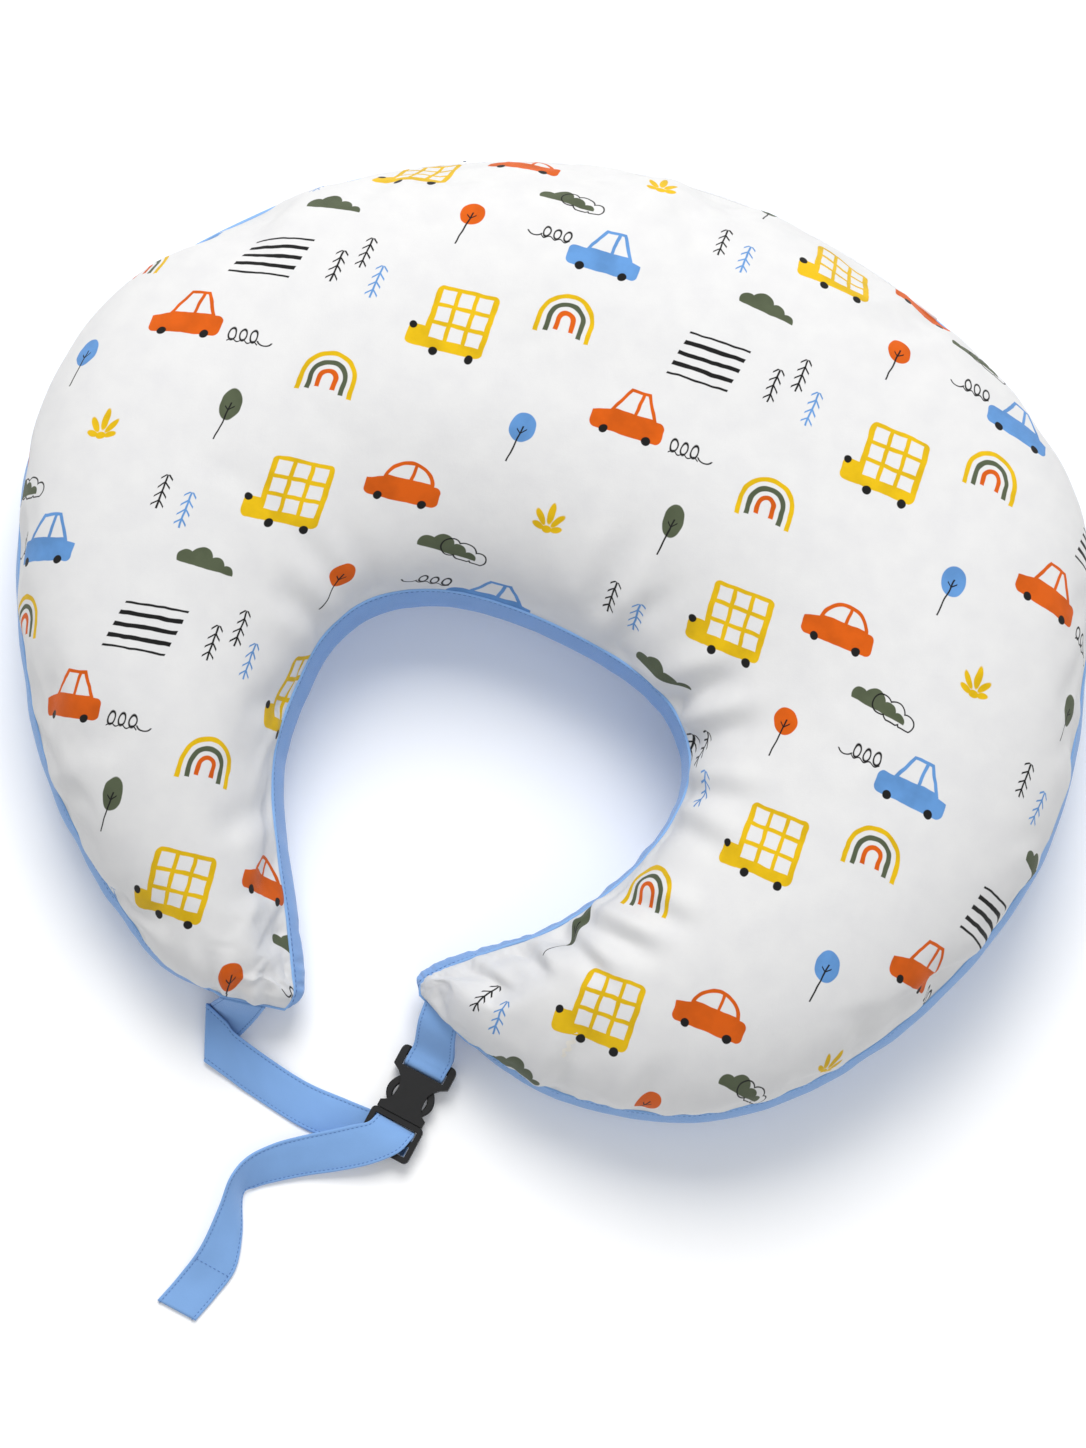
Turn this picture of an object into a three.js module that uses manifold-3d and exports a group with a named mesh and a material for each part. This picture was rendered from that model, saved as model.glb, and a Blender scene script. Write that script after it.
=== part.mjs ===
// Nursing pillow: a C-shaped stuffed cushion in a two-panel zipped cover, worn round the waist and
// closed in front by a fabric strap and a side-release buckle.
// Millimetres. +Z is up, X runs across the pillow and +Y points to the crown, the closed side of the
// C. Lengths below are laid out from the centre of the arc that the crown's outer edge follows, and
// the last lines move the whole pillow so that its origin is the middle of its base.
import * as THREE from "three";
import { mergeVertices } from "three/addons/utils/BufferGeometryUtils.js";
import Module from "manifold-3d";

const wasm = await Module();
wasm.setup();

// ---------------------------------------------------------------- driving dimensions
const CROWN_RADIUS = 365; // outer edge of the crown, and the arc that the zip follows
const CROWN_LOFT = 152; // stuffed thickness at the crown
const SEAM_SHARE = 0.58; // height of the side seam, as a share of the thickness
const TIP_ROUNDING = 55; // length over which each arm closes to its end seam
const SIDE_BULGE = 8; // how far the back panel swells past the seam
const TOP_FULLNESS = 2.2; // 2 is an ellipse, more is squarer
const BASE_FULLNESS = 2.8;
const BASE_FLATTENING = 1.17; // more than 1 presses the underside flat
const SEAM_GAP = 0.4; // between two pieces sewn or laid face to face
const CLOTH = 0.8; // cover cloth
const TICKING = 0.6; // inner case cloth
const CASE_SIDE_PLAY = 6; // room between cover and inner case at the sides, where the zip lies
const CASE_FACE_PLAY = 2; // the same above and below
const ZIP_START = 125; // degrees about the crown's centre
const ZIP_END = 77;
const ZIP_SLOT = 10; // opening between the two panels along the zip
const SLOT_RUNOUT = 5; // degrees by which the opening passes each end of the zip
const STRAP_WIDTH = 25;
const STRAP_THICK = 1.2;
const BUCKLE_X = 26; // centre line of the buckle, which points along -Y
const BUCKLE_Z = 8.6; // its mid-thickness
const BUCKLE_THICK = 9;
const SOCKET_TOP = -147; // far edge of the socket
const SOCKET_MOUTH = -186;
const PLUG_END = -209;
const RUNNING_GAP = 0.3; // between plastic parts that move on each other

const STATIONS = 42; // steps along the C
const ACROSS = 8; // steps over each panel

const WHITE_COTTON = { color: 0xf4f4f2, roughness: 0.85, metalness: 0 };
const BLUE_COTTON = { color: 0x78a4dc, roughness: 0.85, metalness: 0 };
const TICKING_CLOTH = { color: 0xe9e6df, roughness: 0.9, metalness: 0 };
const FIBRE = { color: 0xfafafa, roughness: 1, metalness: 0 };
const ZIP_CLOTH = { color: 0x6f98cf, roughness: 0.8, metalness: 0 };
const NYLON = { color: 0x7aa2d8, roughness: 0.45, metalness: 0 };
const ZIP_METAL = { color: 0xb9bcc0, roughness: 0.35, metalness: 1 };
const BLACK_PLASTIC = { color: 0x161616, roughness: 0.5, metalness: 0 };

const part = new THREE.Group();

function addPiece(name, geometry, finish) {
  const mesh = new THREE.Mesh(geometry, new THREE.MeshStandardMaterial(finish));
  mesh.name = name;
  part.add(mesh);
  return mesh;
}

// ---------------------------------------------------------------- plan of the pillow
const onCrown = (degrees) => {
  const angle = THREE.MathUtils.degToRad(degrees);
  return [CROWN_RADIUS * Math.cos(angle), CROWN_RADIUS * Math.sin(angle)];
};

// From the left arm's end seam round the crown to the right arm's: where the outer edge and the
// inner edge are, and how thick the stuffing is between them.
const PLAN = [
  { outer: [-95, -174], inner: [-53, -162], loft: 62 },
  { outer: [-150, -166], inner: [-78, -124], loft: 84 },
  { outer: [-250, -98], inner: [-127, -50], loft: 124 },
  { outer: [-326, 22], inner: [-138, 10], loft: 144 },
  { outer: [-335, 135], inner: [-133, 44], loft: CROWN_LOFT },
  { outer: onCrown(140), inner: [-117, 68], loft: CROWN_LOFT },
  { outer: onCrown(125), inner: [-88, 86], loft: CROWN_LOFT },
  { outer: onCrown(110), inner: [-52, 95], loft: CROWN_LOFT },
  { outer: onCrown(95), inner: [-12, 98], loft: CROWN_LOFT },
  { outer: onCrown(80), inner: [27, 96], loft: CROWN_LOFT },
  { outer: onCrown(66), inner: [57, 87], loft: CROWN_LOFT },
  { outer: [214, 286], inner: [79, 67], loft: CROWN_LOFT },
  { outer: [256, 208], inner: [87, 40], loft: 150 },
  { outer: [279, 118], inner: [83, 4], loft: 145 },
  { outer: [268, 28], inner: [70, -31], loft: 138 },
  { outer: [232, -52], inner: [53, -58], loft: 126 },
  { outer: [178, -107], inner: [36, -75], loft: 108 },
  { outer: [105, -132], inner: [14, -97], loft: 80 },
  { outer: [41, -131], inner: [-2, -118], loft: 58 },
];
const curveThrough = (points) => new THREE.CatmullRomCurve3(points, false, "catmullrom", 0.5);
const outerEdge = curveThrough(PLAN.map((p) => new THREE.Vector3(...p.outer, 0)));
const innerEdge = curveThrough(PLAN.map((p) => new THREE.Vector3(...p.inner, 0)));
const lofts = curveThrough(PLAN.map((p) => new THREE.Vector3(p.loft, 0, 0)));
const midLine = curveThrough(
  PLAN.map((p) => new THREE.Vector3((p.outer[0] + p.inner[0]) / 2, (p.outer[1] + p.inner[1]) / 2, 0)),
);
const ARM_LENGTH = midLine.getLength();

// Share of the full thickness: 1 along the arms, rounding off to 0 at the two ends, which lie
// `inset` inside the end seams.
function endRounding(t, inset) {
  const fromEnd = Math.max(0, Math.min(t, 1 - t) * ARM_LENGTH - inset);
  const inside = Math.min(1, fromEnd / TIP_ROUNDING);
  return Math.sqrt(1 - (1 - inside) ** 2);
}

// One section across the pillow at t, drawn in by `side` at its edges.
function section(t, side) {
  const outer = outerEdge.getPoint(t);
  const inner = innerEdge.getPoint(t);
  const across = outer.clone().sub(inner);
  const halfWidth = across.length() / 2;
  return {
    middle: outer.add(inner).multiplyScalar(0.5),
    across: across.normalize(),
    halfWidth: halfWidth - side,
    loft: lofts.getPoint(t).x,
    rounding: endRounding(t, side),
  };
}

const power = (value, exponent) => Math.sign(value) * Math.abs(value) ** exponent;
const isZipped = (point) => {
  const degrees = THREE.MathUtils.radToDeg(Math.atan2(point.y, point.x));
  return degrees < ZIP_START + SLOT_RUNOUT && degrees > ZIP_END - SLOT_RUNOUT;
};

// A point of the upper surface: angle 0 is the inner seam and PI the outer one.
function topPoint(t, angle, side, face) {
  const s = section(t, side);
  const seam = s.loft * SEAM_SHARE + SEAM_GAP / 2;
  const rise = (s.loft - seam - face) * s.rounding;
  const edge = s.middle.clone().addScaledVector(s.across, s.halfWidth);
  const slotAngle = Math.asin((ZIP_SLOT / 2 / rise) ** (TOP_FULLNESS / 2));
  const last = side < CASE_SIDE_PLAY && isZipped(edge) ? Math.PI - slotAngle : Math.PI;
  const at = (angle / Math.PI) * last;
  const reach = -power(Math.cos(at), 2 / TOP_FULLNESS) * s.halfWidth;
  const height = power(Math.sin(at), 2 / TOP_FULLNESS) * rise;
  return s.middle.clone().addScaledVector(s.across, reach).setZ(seam + Math.max(0, height));
}

// A point of the lower surface, which swells past the seam and is pressed flat at the bottom.
function basePoint(t, angle, side, face) {
  const s = section(t, side);
  const seam = s.loft * SEAM_SHARE - SEAM_GAP / 2;
  const edge = s.middle.clone().addScaledVector(s.across, s.halfWidth);
  const slotAngle = Math.asin((ZIP_SLOT / 2 / seam / BASE_FLATTENING) ** (BASE_FULLNESS / 2));
  const last = side < CASE_SIDE_PLAY && isZipped(edge) ? Math.PI - slotAngle : Math.PI;
  const at = (angle / Math.PI) * last;
  const cosine = Math.cos(at);
  const depth = Math.min(1, BASE_FLATTENING * Math.abs(Math.sin(at)) ** (2 / BASE_FULLNESS));
  const bulge = -Math.sign(cosine) * SIDE_BULGE * Math.sin(Math.PI * depth) * s.rounding;
  const reach = -power(cosine, 2 / BASE_FULLNESS) * s.halfWidth + bulge;
  const height = seam - (seam - face) * depth * s.rounding;
  return s.middle.clone().addScaledVector(s.across, reach).setZ(height);
}

// ---------------------------------------------------------------- closed bodies from grids
// rows[i][j] are points; two grids joined round their border make a shell with a wall.
function gridTriangles(rows, outward, triangles) {
  for (let i = 0; i + 1 < rows.length; i += 1) {
    for (let j = 0; j + 1 < rows[i].length; j += 1) {
      const [a, b] = [rows[i][j], rows[i][j + 1]];
      const [c, d] = [rows[i + 1][j + 1], rows[i + 1][j]];
      triangles.push(...(outward ? [a, c, b, a, d, c] : [a, b, c, a, c, d]));
    }
  }
}

function fromTriangles(points) {
  const geometry = new THREE.BufferGeometry().setFromPoints(points);
  const merged = mergeVertices(geometry, 1e-4);
  merged.computeVertexNormals();
  return merged;
}

function border(rows) {
  const last = rows.length - 1;
  const wide = rows[0].length - 1;
  return [
    ...rows[0].slice(0, wide),
    ...rows.slice(0, last).map((row) => row[wide]),
    ...rows[last].slice(1).reverse(),
    ...rows.slice(1).reverse().map((row) => row[0]),
  ];
}

function shell(outside, inside, flip) {
  const triangles = [];
  gridTriangles(outside, !flip, triangles);
  gridTriangles(inside, flip, triangles);
  const rim = border(outside);
  const innerRim = border(inside);
  rim.forEach((a, i) => {
    const b = rim[(i + 1) % rim.length];
    const c = innerRim[(i + 1) % rim.length];
    const d = innerRim[i];
    triangles.push(...(flip ? [a, d, c, a, c, b] : [a, c, d, a, b, c]));
  });
  return fromTriangles(triangles);
}

// Even steps from 0 to 1, crowded towards both ends, where the surfaces round off.
const crowded = (even) => even - (0.55 * Math.sin(2 * Math.PI * even)) / (2 * Math.PI);

function surface(pointAt, side, face) {
  const margin = side / ARM_LENGTH;
  return Array.from({ length: STATIONS + 1 }, (_, i) => {
    const t = THREE.MathUtils.lerp(margin, 1 - margin, crowded(i / STATIONS));
    return Array.from({ length: ACROSS + 1 }, (__, j) =>
      pointAt(t, Math.PI * crowded(j / ACROSS), side, face),
    );
  });
}

function panel(pointAt, side, face, thickness, flip) {
  const outside = surface(pointAt, side, face);
  const inside = surface(pointAt, side + thickness, face + thickness);
  return shell(outside, inside, flip);
}

// ---------------------------------------------------------------- cover, inner case and filling
addPiece("cover_top_panel", panel(topPoint, 0, 0, CLOTH, false), WHITE_COTTON);
addPiece("cover_back_panel", panel(basePoint, 0, 0, CLOTH, true), BLUE_COTTON);
addPiece(
  "inner_case_top_panel",
  panel(topPoint, CASE_SIDE_PLAY, CASE_FACE_PLAY, TICKING, false),
  TICKING_CLOTH,
);
addPiece(
  "inner_case_back_panel",
  panel(basePoint, CASE_SIDE_PLAY, CASE_FACE_PLAY, TICKING, true),
  TICKING_CLOTH,
);

function filling() {
  const side = CASE_SIDE_PLAY + TICKING + SEAM_GAP;
  const face = CASE_FACE_PLAY + TICKING + SEAM_GAP;
  return shell(surface(topPoint, side, face), surface(basePoint, side, face), false);
}
addPiece("fibre_fill", filling(), FIBRE);

// ---------------------------------------------------------------- solids for the hardware
function solid(geometry) {
  const bare = geometry.index ? geometry.toNonIndexed() : geometry.clone();
  bare.deleteAttribute("normal");
  bare.deleteAttribute("uv");
  const merged = mergeVertices(bare, 1e-4);
  return new wasm.Manifold(
    new wasm.Mesh({
      numProp: 3,
      vertProperties: merged.attributes.position.array,
      triVerts: new Uint32Array(merged.index.array),
    }),
  );
}

function toGeometry(manifold) {
  const mesh = manifold.getMesh();
  const geometry = new THREE.BufferGeometry();
  geometry.setAttribute("position", new THREE.BufferAttribute(mesh.vertProperties, 3));
  geometry.setIndex(new THREE.BufferAttribute(mesh.triVerts, 1));
  geometry.computeVertexNormals();
  return geometry;
}

function box(x0, x1, y0, y1, z0, z1) {
  const geometry = new THREE.BoxGeometry(x1 - x0, y1 - y0, z1 - z0);
  return geometry.translate((x0 + x1) / 2, (y0 + y1) / 2, (z0 + z1) / 2);
}

function plate(shape, z0, z1, curveSegments = 4) {
  const settings = { depth: z1 - z0, bevelEnabled: false, curveSegments };
  return new THREE.ExtrudeGeometry(shape, settings).translate(0, 0, z0);
}

function roundedRectangle(x0, x1, y0, y1, radius, Type = THREE.Shape) {
  const shape = new Type();
  const quarter = Math.PI / 2;
  shape.moveTo(x0 + radius, y0);
  shape.lineTo(x1 - radius, y0);
  shape.absarc(x1 - radius, y0 + radius, radius, -quarter, 0);
  shape.lineTo(x1, y1 - radius);
  shape.absarc(x1 - radius, y1 - radius, radius, 0, quarter);
  shape.lineTo(x0 + radius, y1);
  shape.absarc(x0 + radius, y1 - radius, radius, quarter, 2 * quarter);
  shape.lineTo(x0, y0 + radius);
  shape.absarc(x0 + radius, y0 + radius, radius, 2 * quarter, 3 * quarter);
  return shape;
}

// ---------------------------------------------------------------- zip along the outer crown seam
const SEAM_HEIGHT = CROWN_LOFT * SEAM_SHARE;
const TAPE_FACE = CROWN_RADIUS - 3.3; // outer face of the tapes
const TAPE_THICK = 0.6;
const TAPE_REACH = 7.5; // from the zip's middle to the edge of a tape
const COIL_FACE = CROWN_RADIUS - 1.3;
const COIL_THICK = 1.6;
const COIL_HEIGHT = 2;
const COIL_PARTING = 0.6; // half the gap between the two coils
const SLIDER_FACE = CROWN_RADIUS + 0.3;
const SLIDER_LENGTH = 10;
const SLIDER_HALF_HEIGHT = 4;
const SLIDER_REST = 122;
const PIVOT_RADIUS = CROWN_RADIUS + 1.05; // the bar on which the pull turns

const ARC_STEPS = 24; // along a tape or a coil

function arcBand(inside, outside, z0, z1, from, to, steps = ARC_STEPS) {
  const [a, b] = [THREE.MathUtils.degToRad(to), THREE.MathUtils.degToRad(from)];
  const shape = new THREE.Shape();
  shape.absarc(0, 0, outside, a, b, false);
  shape.absarc(0, 0, inside, b, a, true);
  return plate(shape, z0, z1, steps);
}

for (const [side, name] of [[1, "upper"], [-1, "lower"]]) {
  const heights = (near, far) => [SEAM_HEIGHT + side * near, SEAM_HEIGHT + side * far].sort((p, q) => p - q);
  const tape = heights(COIL_PARTING, TAPE_REACH);
  const coil = heights(COIL_PARTING, COIL_PARTING + COIL_HEIGHT);
  const coilBack = COIL_FACE - COIL_THICK;
  addPiece(
    `zip_tape_${name}`,
    arcBand(TAPE_FACE - TAPE_THICK, TAPE_FACE, ...tape, ZIP_START, ZIP_END),
    ZIP_CLOTH,
  );
  addPiece(
    `zip_coil_${name}`,
    arcBand(coilBack, COIL_FACE, ...coil, SLIDER_REST + 1.4, ZIP_END + 1),
    NYLON,
  );
  addPiece(
    `zip_top_stop_${name}`,
    arcBand(coilBack, COIL_FACE, ...coil, SLIDER_REST + 2, SLIDER_REST + 1.5, 1),
    ZIP_METAL,
  );
}
addPiece(
  "zip_end_stop",
  arcBand(
    COIL_FACE - COIL_THICK,
    COIL_FACE,
    SEAM_HEIGHT - COIL_PARTING - COIL_HEIGHT,
    SEAM_HEIGHT + COIL_PARTING + COIL_HEIGHT,
    ZIP_END + 0.9,
    ZIP_END + 0.4,
    1,
  ),
  ZIP_METAL,
);

// The slider is drawn with its length along Y and its plates facing +X, then turned to its place.
function sliderBody() {
  const outline = [
    [SLIDER_FACE, SLIDER_HALF_HEIGHT],
    [COIL_FACE - 1.5, SLIDER_HALF_HEIGHT],
    [COIL_FACE - 1.5, SLIDER_HALF_HEIGHT - 1],
    [COIL_FACE + 0.4, SLIDER_HALF_HEIGHT - 1],
    [COIL_FACE + 0.4, COIL_PARTING / 2],
    [TAPE_FACE - 1, COIL_PARTING / 2],
    [TAPE_FACE - 1, SLIDER_HALF_HEIGHT - 0.5],
    [TAPE_FACE - 2, SLIDER_HALF_HEIGHT - 0.5],
  ];
  const mirrored = outline.map(([x, z]) => [x, -z]).reverse();
  const shape = new THREE.Shape([...outline, ...mirrored].map(([x, z]) => new THREE.Vector2(x, z)));
  const body = plate(shape, -SLIDER_LENGTH / 2, SLIDER_LENGTH / 2).rotateX(Math.PI / 2);
  const bailTop = SLIDER_FACE + 2.4;
  const bail = [
    box(SLIDER_FACE - 0.5, bailTop, -3, -2, -1, 1),
    box(SLIDER_FACE - 0.5, bailTop, 2, 3, -1, 1),
    box(bailTop - 0.8, bailTop, -3, 3, -1, 1),
  ];
  return toGeometry(bail.reduce((sum, piece) => sum.add(solid(piece)), solid(body)));
}

// The pull is a flat tab whose window loops the slider's bail; it lies along the zip.
function pullTab() {
  const shape = roundedRectangle(-21, 0.5, -2.7, 2.7, 0.4);
  shape.holes.push(roundedRectangle(-3.6, -0.5, -1.4, 1.4, 0.2, THREE.Path));
  shape.holes.push(roundedRectangle(-18.5, -13.5, -1.1, 1.1, 1, THREE.Path));
  const tab = plate(shape, PIVOT_RADIUS - 0.5, PIVOT_RADIUS + 0.5);
  const lieFlat = new THREE.Matrix4().set(0, 0, 1, 0, 1, 0, 0, 0, 0, 1, 0, 0, 0, 0, 0, 1);
  return tab.applyMatrix4(lieFlat);
}

for (const [name, geometry] of [["zip_slider", sliderBody()], ["zip_pull", pullTab()]]) {
  const mesh = addPiece(name, geometry, ZIP_METAL);
  mesh.rotation.z = THREE.MathUtils.degToRad(SLIDER_REST);
  mesh.position.z = SEAM_HEIGHT;
}

// ---------------------------------------------------------------- straps
// A strap is a ribbon between two edges, each given by a few points along its way.
function ribbon(leftPoints, rightPoints, steps) {
  const left = curveThrough(leftPoints.map((p) => new THREE.Vector3(...p)));
  const right = curveThrough(rightPoints.map((p) => new THREE.Vector3(...p)));
  const above = [];
  const below = [];
  for (let i = 0; i <= steps; i += 1) {
    const t = i / steps;
    const [l, r] = [left.getPoint(t), right.getPoint(t)];
    const forward = left.getTangent(t).add(right.getTangent(t));
    const half = forward.cross(r.clone().sub(l)).normalize().multiplyScalar(STRAP_THICK / 2);
    above.push([l.clone().add(half), r.clone().add(half)]);
    below.push([l.clone().sub(half), r.clone().sub(half)]);
  }
  return shell(above, below, false);
}

// Edges of a strap from its centre line: each row is x, y, z, then the heading and the tilt in
// degrees of the line across the strap.
function edgesAbout(rows) {
  const reach = (row, side) => {
    const [x, y, z, heading, tilt] = row;
    const flat = Math.cos(THREE.MathUtils.degToRad(tilt)) * (STRAP_WIDTH / 2) * side;
    const angle = THREE.MathUtils.degToRad(heading);
    const rise = Math.sin(THREE.MathUtils.degToRad(tilt)) * (STRAP_WIDTH / 2) * side;
    return [x + flat * Math.cos(angle), y + flat * Math.sin(angle), z + rise];
  };
  return [rows.map((row) => reach(row, -1)), rows.map((row) => reach(row, 1))];
}

// The long strap leaves the left arm's end seam, folds over to the right and runs under the plug.
const LONG_STRAP_LEFT = [
  [-95.3, -175.2, 36],
  [-99, -178, 20],
  [-101, -179.2, 9],
  [-101.5, -179.6, 6.6],
  [-102.6, -180.2, 8.2],
  [-101.3, -180.8, 10.2],
  [-88, -184.5, 12],
  [-77, -188.5, 10],
  [-35, -193, 2.5],
  [0, -193, 0.9],
  [38, -193, 0.9],
];
const LONG_STRAP_RIGHT = [
  [-69.7, -168.2, 36],
  [-73.5, -178, 15],
  [-79, -192, 2.6],
  [-86, -209, 0.9],
  [-88, -210.5, 2.1],
  [-86, -211, 3.4],
  [-71, -213, 1.7],
  [-56, -215, 0.9],
  [-22, -218, 0.9],
  [4, -218, 0.9],
  [38, -218, 0.9],
];
addPiece("long_strap", ribbon(LONG_STRAP_LEFT, LONG_STRAP_RIGHT, 36), BLUE_COTTON);

// Its tail comes up through the plug's inner slot, over both bars and down to the table, where it
// stands on its edge, turns over and ends flat.
const TAIL_ROWS = [
  [26, -207, 2.6, 0, 0],
  [26, -199, 2.6, 0, 0],
  [26, -193.6, 4.2, 0, 0],
  [26, -192.3, 8.6, 0, 0],
  [26, -194.2, 13.4, -6, 0],
  [23.5, -201, 14.8, -18, -2],
  [15, -210, 13.6, -38, -10],
  [3, -220, 11, -50, -18],
  [-12, -231.5, 8.8, -56, -26],
  [-25, -243, 8.6, -58, -33],
  [-34, -254, 10.2, -48, -48],
  [-37.5, -265, 12.6, -30, -64],
  [-31.5, -284, 9, -22, -38],
  [-28, -306, 5.2, -4, -19],
  [-31, -326, 1.6, 3, -3],
  [-35, -343.6, 0.9, 0, 0],
];
addPiece("long_strap_tail", ribbon(...edgesAbout(TAIL_ROWS), 60), BLUE_COTTON);

// The short strap leaves the right arm's end seam, loops the socket's bar and returns.
const LOOP_ROWS = [
  [21, -130.6, 38, 0, 0],
  [23, -137, 30, 0, 0],
  [26, -144.5, 17, 0, 0],
  [26, -150, 12.8, 0, 0],
  [26, -154, 11, 0, 0],
  [26, -155.2, 8.6, 0, 0],
  [26, -154, 6.2, 0, 0],
  [26, -151, 5.4, 0, 0],
  [26, -146.5, 5.4, 0, 0],
  [25.5, -142.5, 9.5, 0, 0],
  [23, -136.5, 22, 0, 0],
  [21, -130.8, 33.5, 0, 0],
];
addPiece("short_strap", ribbon(...edgesAbout(LOOP_ROWS), 30), BLUE_COTTON);

// ---------------------------------------------------------------- side-release buckle
const FRAME_HALF = 17.5; // socket's lugs beside the strap
const WAIST_HALF = 8.5;
const WAIST_Y = -172;
const MOUTH_HALF = 14.5;
const CAVITY_HALF = 12.4;
const CAVITY_HEIGHT = 5.8;
const CAVITY_END = -163;

function socketBody() {
  const shape = new THREE.Shape();
  const x = (half) => BUCKLE_X + half;
  shape.moveTo(x(MOUTH_HALF), SOCKET_MOUTH);
  shape.lineTo(x(MOUTH_HALF), SOCKET_MOUTH + 4);
  shape.quadraticCurveTo(x(WAIST_HALF), SOCKET_MOUTH + 6, x(WAIST_HALF), WAIST_Y);
  shape.quadraticCurveTo(x(WAIST_HALF), WAIST_Y + 8, x(FRAME_HALF), WAIST_Y + 12);
  shape.lineTo(x(FRAME_HALF), SOCKET_TOP - 4);
  shape.quadraticCurveTo(x(FRAME_HALF), SOCKET_TOP, x(FRAME_HALF - 4), SOCKET_TOP);
  shape.lineTo(x(4 - FRAME_HALF), SOCKET_TOP);
  shape.quadraticCurveTo(x(-FRAME_HALF), SOCKET_TOP, x(-FRAME_HALF), SOCKET_TOP - 4);
  shape.lineTo(x(-FRAME_HALF), WAIST_Y + 12);
  shape.quadraticCurveTo(x(-WAIST_HALF), WAIST_Y + 8, x(-WAIST_HALF), WAIST_Y);
  shape.quadraticCurveTo(x(-WAIST_HALF), SOCKET_MOUTH + 6, x(-MOUTH_HALF), SOCKET_MOUTH + 4);
  shape.lineTo(x(-MOUTH_HALF), SOCKET_MOUTH);
  const slot = roundedRectangle(x(-13.3), x(13.3), -158.5, -152.4, 0.5, THREE.Path);
  shape.holes.push(slot);
  const half = BUCKLE_THICK / 2;
  const body = solid(plate(shape, BUCKLE_Z - half, BUCKLE_Z + half));
  const cavity = box(
    x(-CAVITY_HALF),
    x(CAVITY_HALF),
    SOCKET_MOUTH - 1,
    CAVITY_END,
    BUCKLE_Z - CAVITY_HEIGHT / 2,
    BUCKLE_Z + CAVITY_HEIGHT / 2,
  );
  // The bar is thinner than the body, so the strap's loop stays within its thickness.
  const aboveBar = box(x(-13.3), x(13.3), SOCKET_TOP - 6, SOCKET_TOP + 1, BUCKLE_Z + 1.5, BUCKLE_Z + 6);
  const belowBar = box(x(-13.3), x(13.3), SOCKET_TOP - 6, SOCKET_TOP + 1, BUCKLE_Z - 6, BUCKLE_Z - 1.5);
  return toGeometry(body.subtract(solid(cavity)).subtract(solid(aboveBar)).subtract(solid(belowBar)));
}
addPiece("buckle_socket", socketBody(), BLACK_PLASTIC);

const PLUG_HALF = 16.5;
const PLUG_START = SOCKET_MOUTH - RUNNING_GAP;
const TONGUE_HALF = 2.4;
const PRONG_THICK = 5;

function plugBody() {
  const x = (half) => BUCKLE_X + half;
  const frame = roundedRectangle(x(-PLUG_HALF), x(PLUG_HALF), PLUG_END, PLUG_START, 3);
  frame.holes.push(roundedRectangle(x(-13.3), x(13.3), -195.6, -189.6, 0.5, THREE.Path));
  frame.holes.push(roundedRectangle(x(-13.3), x(13.3), -205.6, -199, 0.5, THREE.Path));
  const ladder = solid(plate(frame, BUCKLE_Z - 3.5, BUCKLE_Z + 3.5));
  const tongue = new THREE.Shape();
  tongue.moveTo(x(-TONGUE_HALF), PLUG_START - 1);
  tongue.lineTo(x(TONGUE_HALF), PLUG_START - 1);
  tongue.lineTo(x(TONGUE_HALF), CAVITY_END - 4);
  tongue.absarc(BUCKLE_X, CAVITY_END - 4, TONGUE_HALF, 0, Math.PI);
  const guide = solid(plate(tongue, BUCKLE_Z - 2, BUCKLE_Z + 2));
  return toGeometry(ladder.add(guide));
}
addPiece("buckle_plug", plugBody(), BLACK_PLASTIC);

// A springy arm: rooted at the plug, bowed out through the socket's side window, and back in.
function prong(side) {
  const x = (half) => BUCKLE_X + side * half;
  const shape = new THREE.Shape();
  shape.moveTo(x(7.6), PLUG_START + 0.3);
  shape.lineTo(x(7.8), -180);
  shape.quadraticCurveTo(x(12.6), -174, x(8.2), -168);
  shape.lineTo(x(8), -164.6);
  shape.lineTo(x(9.6), -163.6);
  shape.lineTo(x(11.6), -165.4);
  shape.quadraticCurveTo(x(17.6), -173.5, x(11.6), -180);
  shape.lineTo(x(10.8), PLUG_START + 0.3);
  return plate(shape, BUCKLE_Z - PRONG_THICK / 2, BUCKLE_Z + PRONG_THICK / 2, 8);
}
addPiece("plug_prong_left", prong(-1), BLACK_PLASTIC);
addPiece("plug_prong_right", prong(1), BLACK_PLASTIC);

// ---------------------------------------------------------------- origin: middle of the base
part.updateMatrixWorld(true);
const extent = new THREE.Box3().setFromObject(part, true);
const middle = extent.getCenter(new THREE.Vector3());
part.position.set(-middle.x, -middle.y, -extent.min.z);

export default part;
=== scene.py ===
# %% [markdown]
# # A nursing pillow, built around its CAD frame
# The pillow is a stuffed C in a cotton cover: a printed white top panel and a plain blue back panel.
# The CAD model gives every place and size. Blender gives the cloth its swell, wrinkles and stitches.
# Each cell below makes one thing, and the markdown cell before it says what it is and why it is made
# that way. Everything is in metres, in the frame's own axes.

# %% Load the frame
import math

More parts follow.
